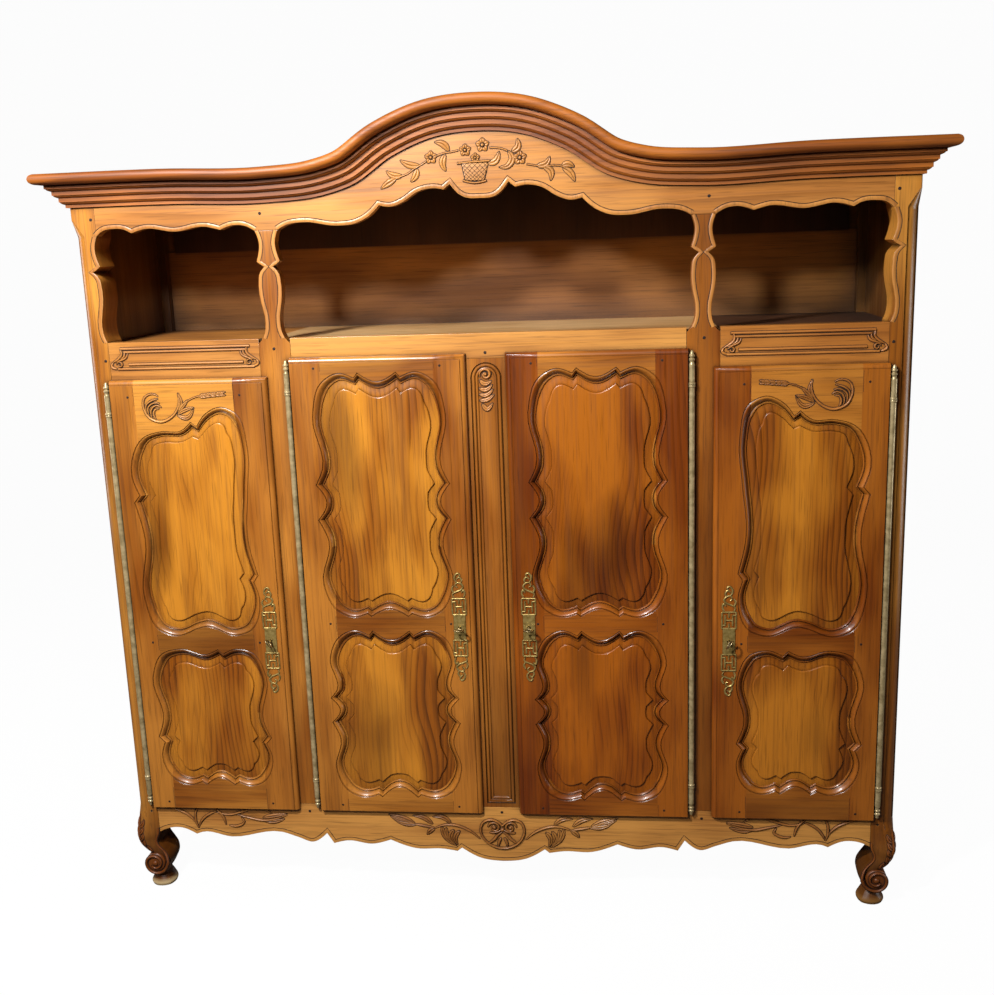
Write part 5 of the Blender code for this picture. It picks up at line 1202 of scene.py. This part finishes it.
for name, kind, side in doorList:
    plateNode, keyNode = "lock_plate_" + kind + "_right", "key_" + kind + "_right"
    x, z = middleOf(plateNode, 0), middleOf(plateNode, 2)
    plateBack = high(plateNode)[1]

    def onPlate(a, b, rise):
        return (x + a * mm, plateBack - max(rise, 0) * mm, z + b * mm)

    mesh = newMesh()
    outer, hole = rectangle(*plate["middle"]), circle(0, 0, plate["keyhole"], plate["keySides"])
    faces = []
    for rise, step in plate["edge"]:
        faces.append([ring(mesh, [onPlate(a, b, rise) for a, b in loop]) for loop in (inward(outer, step), hole)])
    for first, second in zip(faces, faces[1:]):
        wall(mesh, first[0], second[0])
        wall(mesh, first[1], second[1])
    cover(mesh, *faces[0])
    cover(mesh, *faces[-1])

    def scrollWide(t):
        return plate["bar"] * (plate["scrollEnd"] + plate["scrollSwell"] * math.sin(math.pi * t))

    for up in (1, -1):
        for points in plate["frets"]:
            strand(mesh, [(a, b * up) for a, b in points], plate["bar"], plate["rise"], onPlate)
        for points in plate["scrolls"]:
            path = smoothCurve([(a * up, b * up) for a, b in points], plate["scrollSteps"])
            strand(mesh, path, scrollWide, plate["rise"], onPlate)
        strand(mesh, [(0, b * up) for b in plate["bridge"]], *plate["bridgeSize"], onPlate)
        across, height, *size = plate["pin"]
        dome(mesh, across * up, height, *size, onPlate)
    addPiece("lockPlate_" + name, mesh, agedBrass, "door_" + name, ["lock_plate_" + name], side,
             crease=plate["crease"])

    lean = math.radians(keyShape["lean"][kind])
    shankFront, keyBack = low(plateNode)[1] - keyShape["standout"], high(keyNode)[1]
    mesh = newMesh()
    shank, wire = keyShape["shank"], keyShape["wire"]
    profile = [(shank * share, along * mm) for share, along in keyShape["collar"]] + [(shank, keyBack - shankFront)]
    turned(mesh, profile, keyShape["shankSides"], lambda a, b, along: (x + a, shankFront + along, z + b))
    middle = shankFront - keyShape["bowDeep"] + wire
    loops = []
    for step in range(keyShape["bowSteps"]):
        turn = 2 * math.pi * step / keyShape["bowSteps"]
        spot = Vector(((keyShape["bowWide"] - wire) * math.cos(turn), (keyShape["bowDeep"] - wire) * math.sin(turn)))
        out = Vector((spot.x / keyShape["oval"], spot.y)).normalized()
        loop = []
        for a, b in circle(0, 0, wire, keyShape["wireSides"]):
            flat = spot + out * a
            up = b * keyShape["flat"]
            loop.append((x + flat.x * math.cos(lean) - up * math.sin(lean), middle + flat.y,
                         z + flat.x * math.sin(lean) + up * math.cos(lean)))
        loops.append(ring(mesh, loop))
    walls(mesh, loops + loops[:1])
    bit = rectangle(x - keyShape["bitHalf"], x + keyShape["bitHalf"], low(keyNode)[2], z - shank * keyShape["bitTop"])
    stack(mesh, [upright(mesh, bit, keyBack - end) for end in keyShape["bitEnds"]])
    addPiece("key_" + name, mesh, handledIron, "key_body_" + name, ["key_" + name], side,
             crease=plate["crease"])
    dress(["lock_case_" + name, "lock_bolt_" + name], handledIron)

# pegs through the joints, and the joint lines on the doors
pegs = {"size": (3.8, 0.6), "doorSize": (3.04, 0.36), "beside": 15 * mm, "topDrop": 8 * mm, "bottomRise": 18 * mm,
        "line": (0.9, 0.25), "aboveTop": 3 * mm, "belowTop": 14.5 * mm, "middle": 6 * mm, "bottom": 1 * mm,
        "case": ((953, 1785), (530, 1785), (953, 1442), (520, 1462), (960, 219), (518, 227), (0, 1440), (0, 234))}
mesh = newMesh()
for turn in (1, -1):
    for px, pz in pegs["case"]:
        if px or turn == 1:
            dome(mesh, turn * px, pz, *pegs["size"], face)
addPiece("casePegs", mesh, waxAndPaintedShadow, "case", crease=relief["crease"])
for name, kind, side in doorList:
    frameLow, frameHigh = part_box("door_frame_" + kind + "_right")
    panelLow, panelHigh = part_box("upper_panel_" + kind + "_right")
    lowerLow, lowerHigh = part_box("lower_panel_" + kind + "_right")
    mid, half = (panelLow[0] + panelHigh[0]) / 2, (panelHigh[0] - panelLow[0]) / 2 * door["jointShare"]
    doorFace = onFace(frameLow[1])
    rows = ((frameHigh[2] + panelHigh[2]) / 2 - pegs["topDrop"], (panelLow[2] + lowerHigh[2]) / 2,
            frameLow[2] + pegs["bottomRise"])
    spans = ((panelHigh[2] + pegs["aboveTop"], frameHigh[2] - pegs["belowTop"]),
             (lowerHigh[2] - pegs["middle"], panelLow[2] + pegs["middle"]),
             (frameLow[2] + pegs["bottom"], lowerLow[2] - pegs["aboveTop"]))
    mesh = newMesh()
    for turn in (1, -1):
        joint = mid + turn * half
        for row in rows:
            dome(mesh, (joint + turn * pegs["beside"]) / mm, row / mm, *pegs["doorSize"], doorFace)
        for start, end in spans:
            strand(mesh, [(joint / mm, start / mm), (joint / mm, end / mm)], *pegs["line"], doorFace, 0,
                   waxAndShadowLine["sides"])
    addPiece("doorPegs_" + name, mesh, waxAndPaintedShadow, "door_" + name, side=side, crease=relief["crease"])
print("hardware ready")

# plain pale floor that curves up into the backdrop, soft lamps and the camera
stage = {"half": 16.0, "front": -6.0, "bend": 3.5, "radius": 2.5, "top": 8.0, "steps": 16, "glow": 0.97,
         "bounce": "#5a554e", "air": "#ffe2bc", "airStrength": 0.03}
bends = [math.pi / 2 * step / stage["steps"] for step in range(stage["steps"] + 1)]
profile = [(stage["front"], 0.0)]
profile += [(stage["bend"] + stage["radius"] * math.sin(turn), stage["radius"] * (1 - math.cos(turn)))
            for turn in bends]
profile.append((stage["bend"] + stage["radius"], stage["top"]))
mesh = bmesh.new()
edges = [[mesh.verts.new((end * stage["half"], y, z)) for y, z in profile] for end in (-1, 1)]
for i in range(len(profile) - 1):
    mesh.faces.new((edges[0][i], edges[1][i], edges[1][i + 1], edges[0][i + 1]))
data = bpy.data.meshes.new("floor")
mesh.to_mesh(data)
mesh.free()
data.shade_smooth()
floor = bpy.data.objects.new("floor", data)
bpy.context.scene.collection.objects.link(floor)
material, tree = newMaterial("painted backdrop, matt white")
ray = addNode(tree, "LightPath")
matt = addNode(tree, "BsdfDiffuse", {"Color": hexColor("#ffffff")})
bright = addNode(tree, "Emission", {"Strength": 1.0})
shown = addNode(tree, "MixShader", {0: stage["glow"]}, {1: matt.outputs[0], 2: bright.outputs[0]})
bounce = addNode(tree, "BsdfDiffuse", {"Color": hexColor(stage["bounce"])})
pick = addNode(tree, "MixShader", {},
               {0: ray.outputs["Is Camera Ray"], 1: bounce.outputs[0], 2: shown.outputs[0]})
addNode(tree, "OutputMaterial", {}, {0: pick.outputs[0]})
data.materials.append(material)

world = bpy.data.worlds.new("studio")
bpy.context.scene.world = world
world.use_nodes = True
tree = world.node_tree
tree.nodes.clear()
ray = addNode(tree, "LightPath")
room = addNode(tree, "Background", {"Color": hexColor(stage["air"]), "Strength": stage["airStrength"]})
white = addNode(tree, "Background", {"Color": (1, 1, 1, 1), "Strength": 1.0})
pick = addNode(tree, "MixShader", {},
               {0: ray.outputs["Is Camera Ray"], 1: room.outputs[0], 2: white.outputs[0]})
addNode(tree, "OutputWorld", {}, {0: pick.outputs[0]})

lamps = {"high": {"place": (-1.0, -2.0, 2.84), "aim": (-0.2, -0.2, 1.2), "size": 0.22, "power": 92},
         "room": {"place": (-0.8, -3.0, 2.8), "aim": (-0.2, -0.2, 1.0), "size": 0.3, "power": 46},
         "right": {"place": (3.2, -0.1, 1.0), "aim": (1.0, 0.0, 1.0), "size": 1.2, "power": 16},
         "left": {"place": (-3.2, 0.3, 1.2), "aim": (-1.0, 0.0, 1.0), "size": 1.2, "power": 14},
         "back": {"place": (0.0, 3.2, 1.2), "aim": (0.0, 0.3, 1.0), "size": 1.2, "power": 40}}
for name, lamp in lamps.items():
    light = bpy.data.lights.new(name, "AREA")
    light.size = lamp["size"]
    light.energy = lamp["power"]
    item = bpy.data.objects.new(name, light)
    item.location = lamp["place"]
    item.rotation_euler = (Vector(lamp["aim"]) - Vector(lamp["place"])).to_track_quat("-Z", "Y").to_euler()
    bpy.context.scene.collection.objects.link(item)

view = {"place": (0.33143, -2.99528, 1.70295), "pitch": 12.505, "yaw": -6.465, "roll": 2.042, "lens": 41.96,
        "sensor": 36}
pitch, yaw, roll = (math.radians(view[word]) for word in ("pitch", "yaw", "roll"))
ahead = Vector((math.sin(yaw) * math.cos(pitch), math.cos(yaw) * math.cos(pitch), -math.sin(pitch)))
level = Vector((math.cos(yaw), -math.sin(yaw), 0))
down = ahead.cross(level)
across = level * math.cos(roll) + down * math.sin(roll)
below = down * math.cos(roll) - level * math.sin(roll)
camera = bpy.data.cameras.new("camera")
camera.lens = view["lens"]
camera.sensor_width = view["sensor"]
viewer = bpy.data.objects.new("camera", camera)
viewer.matrix_world = Matrix.Translation(view["place"]) @ Matrix((across, -below, -ahead)).transposed().to_4x4()
bpy.context.scene.collection.objects.link(viewer)
bpy.context.scene.camera = viewer
bpy.context.scene.view_settings.view_transform = "Standard"

print("stage ready")
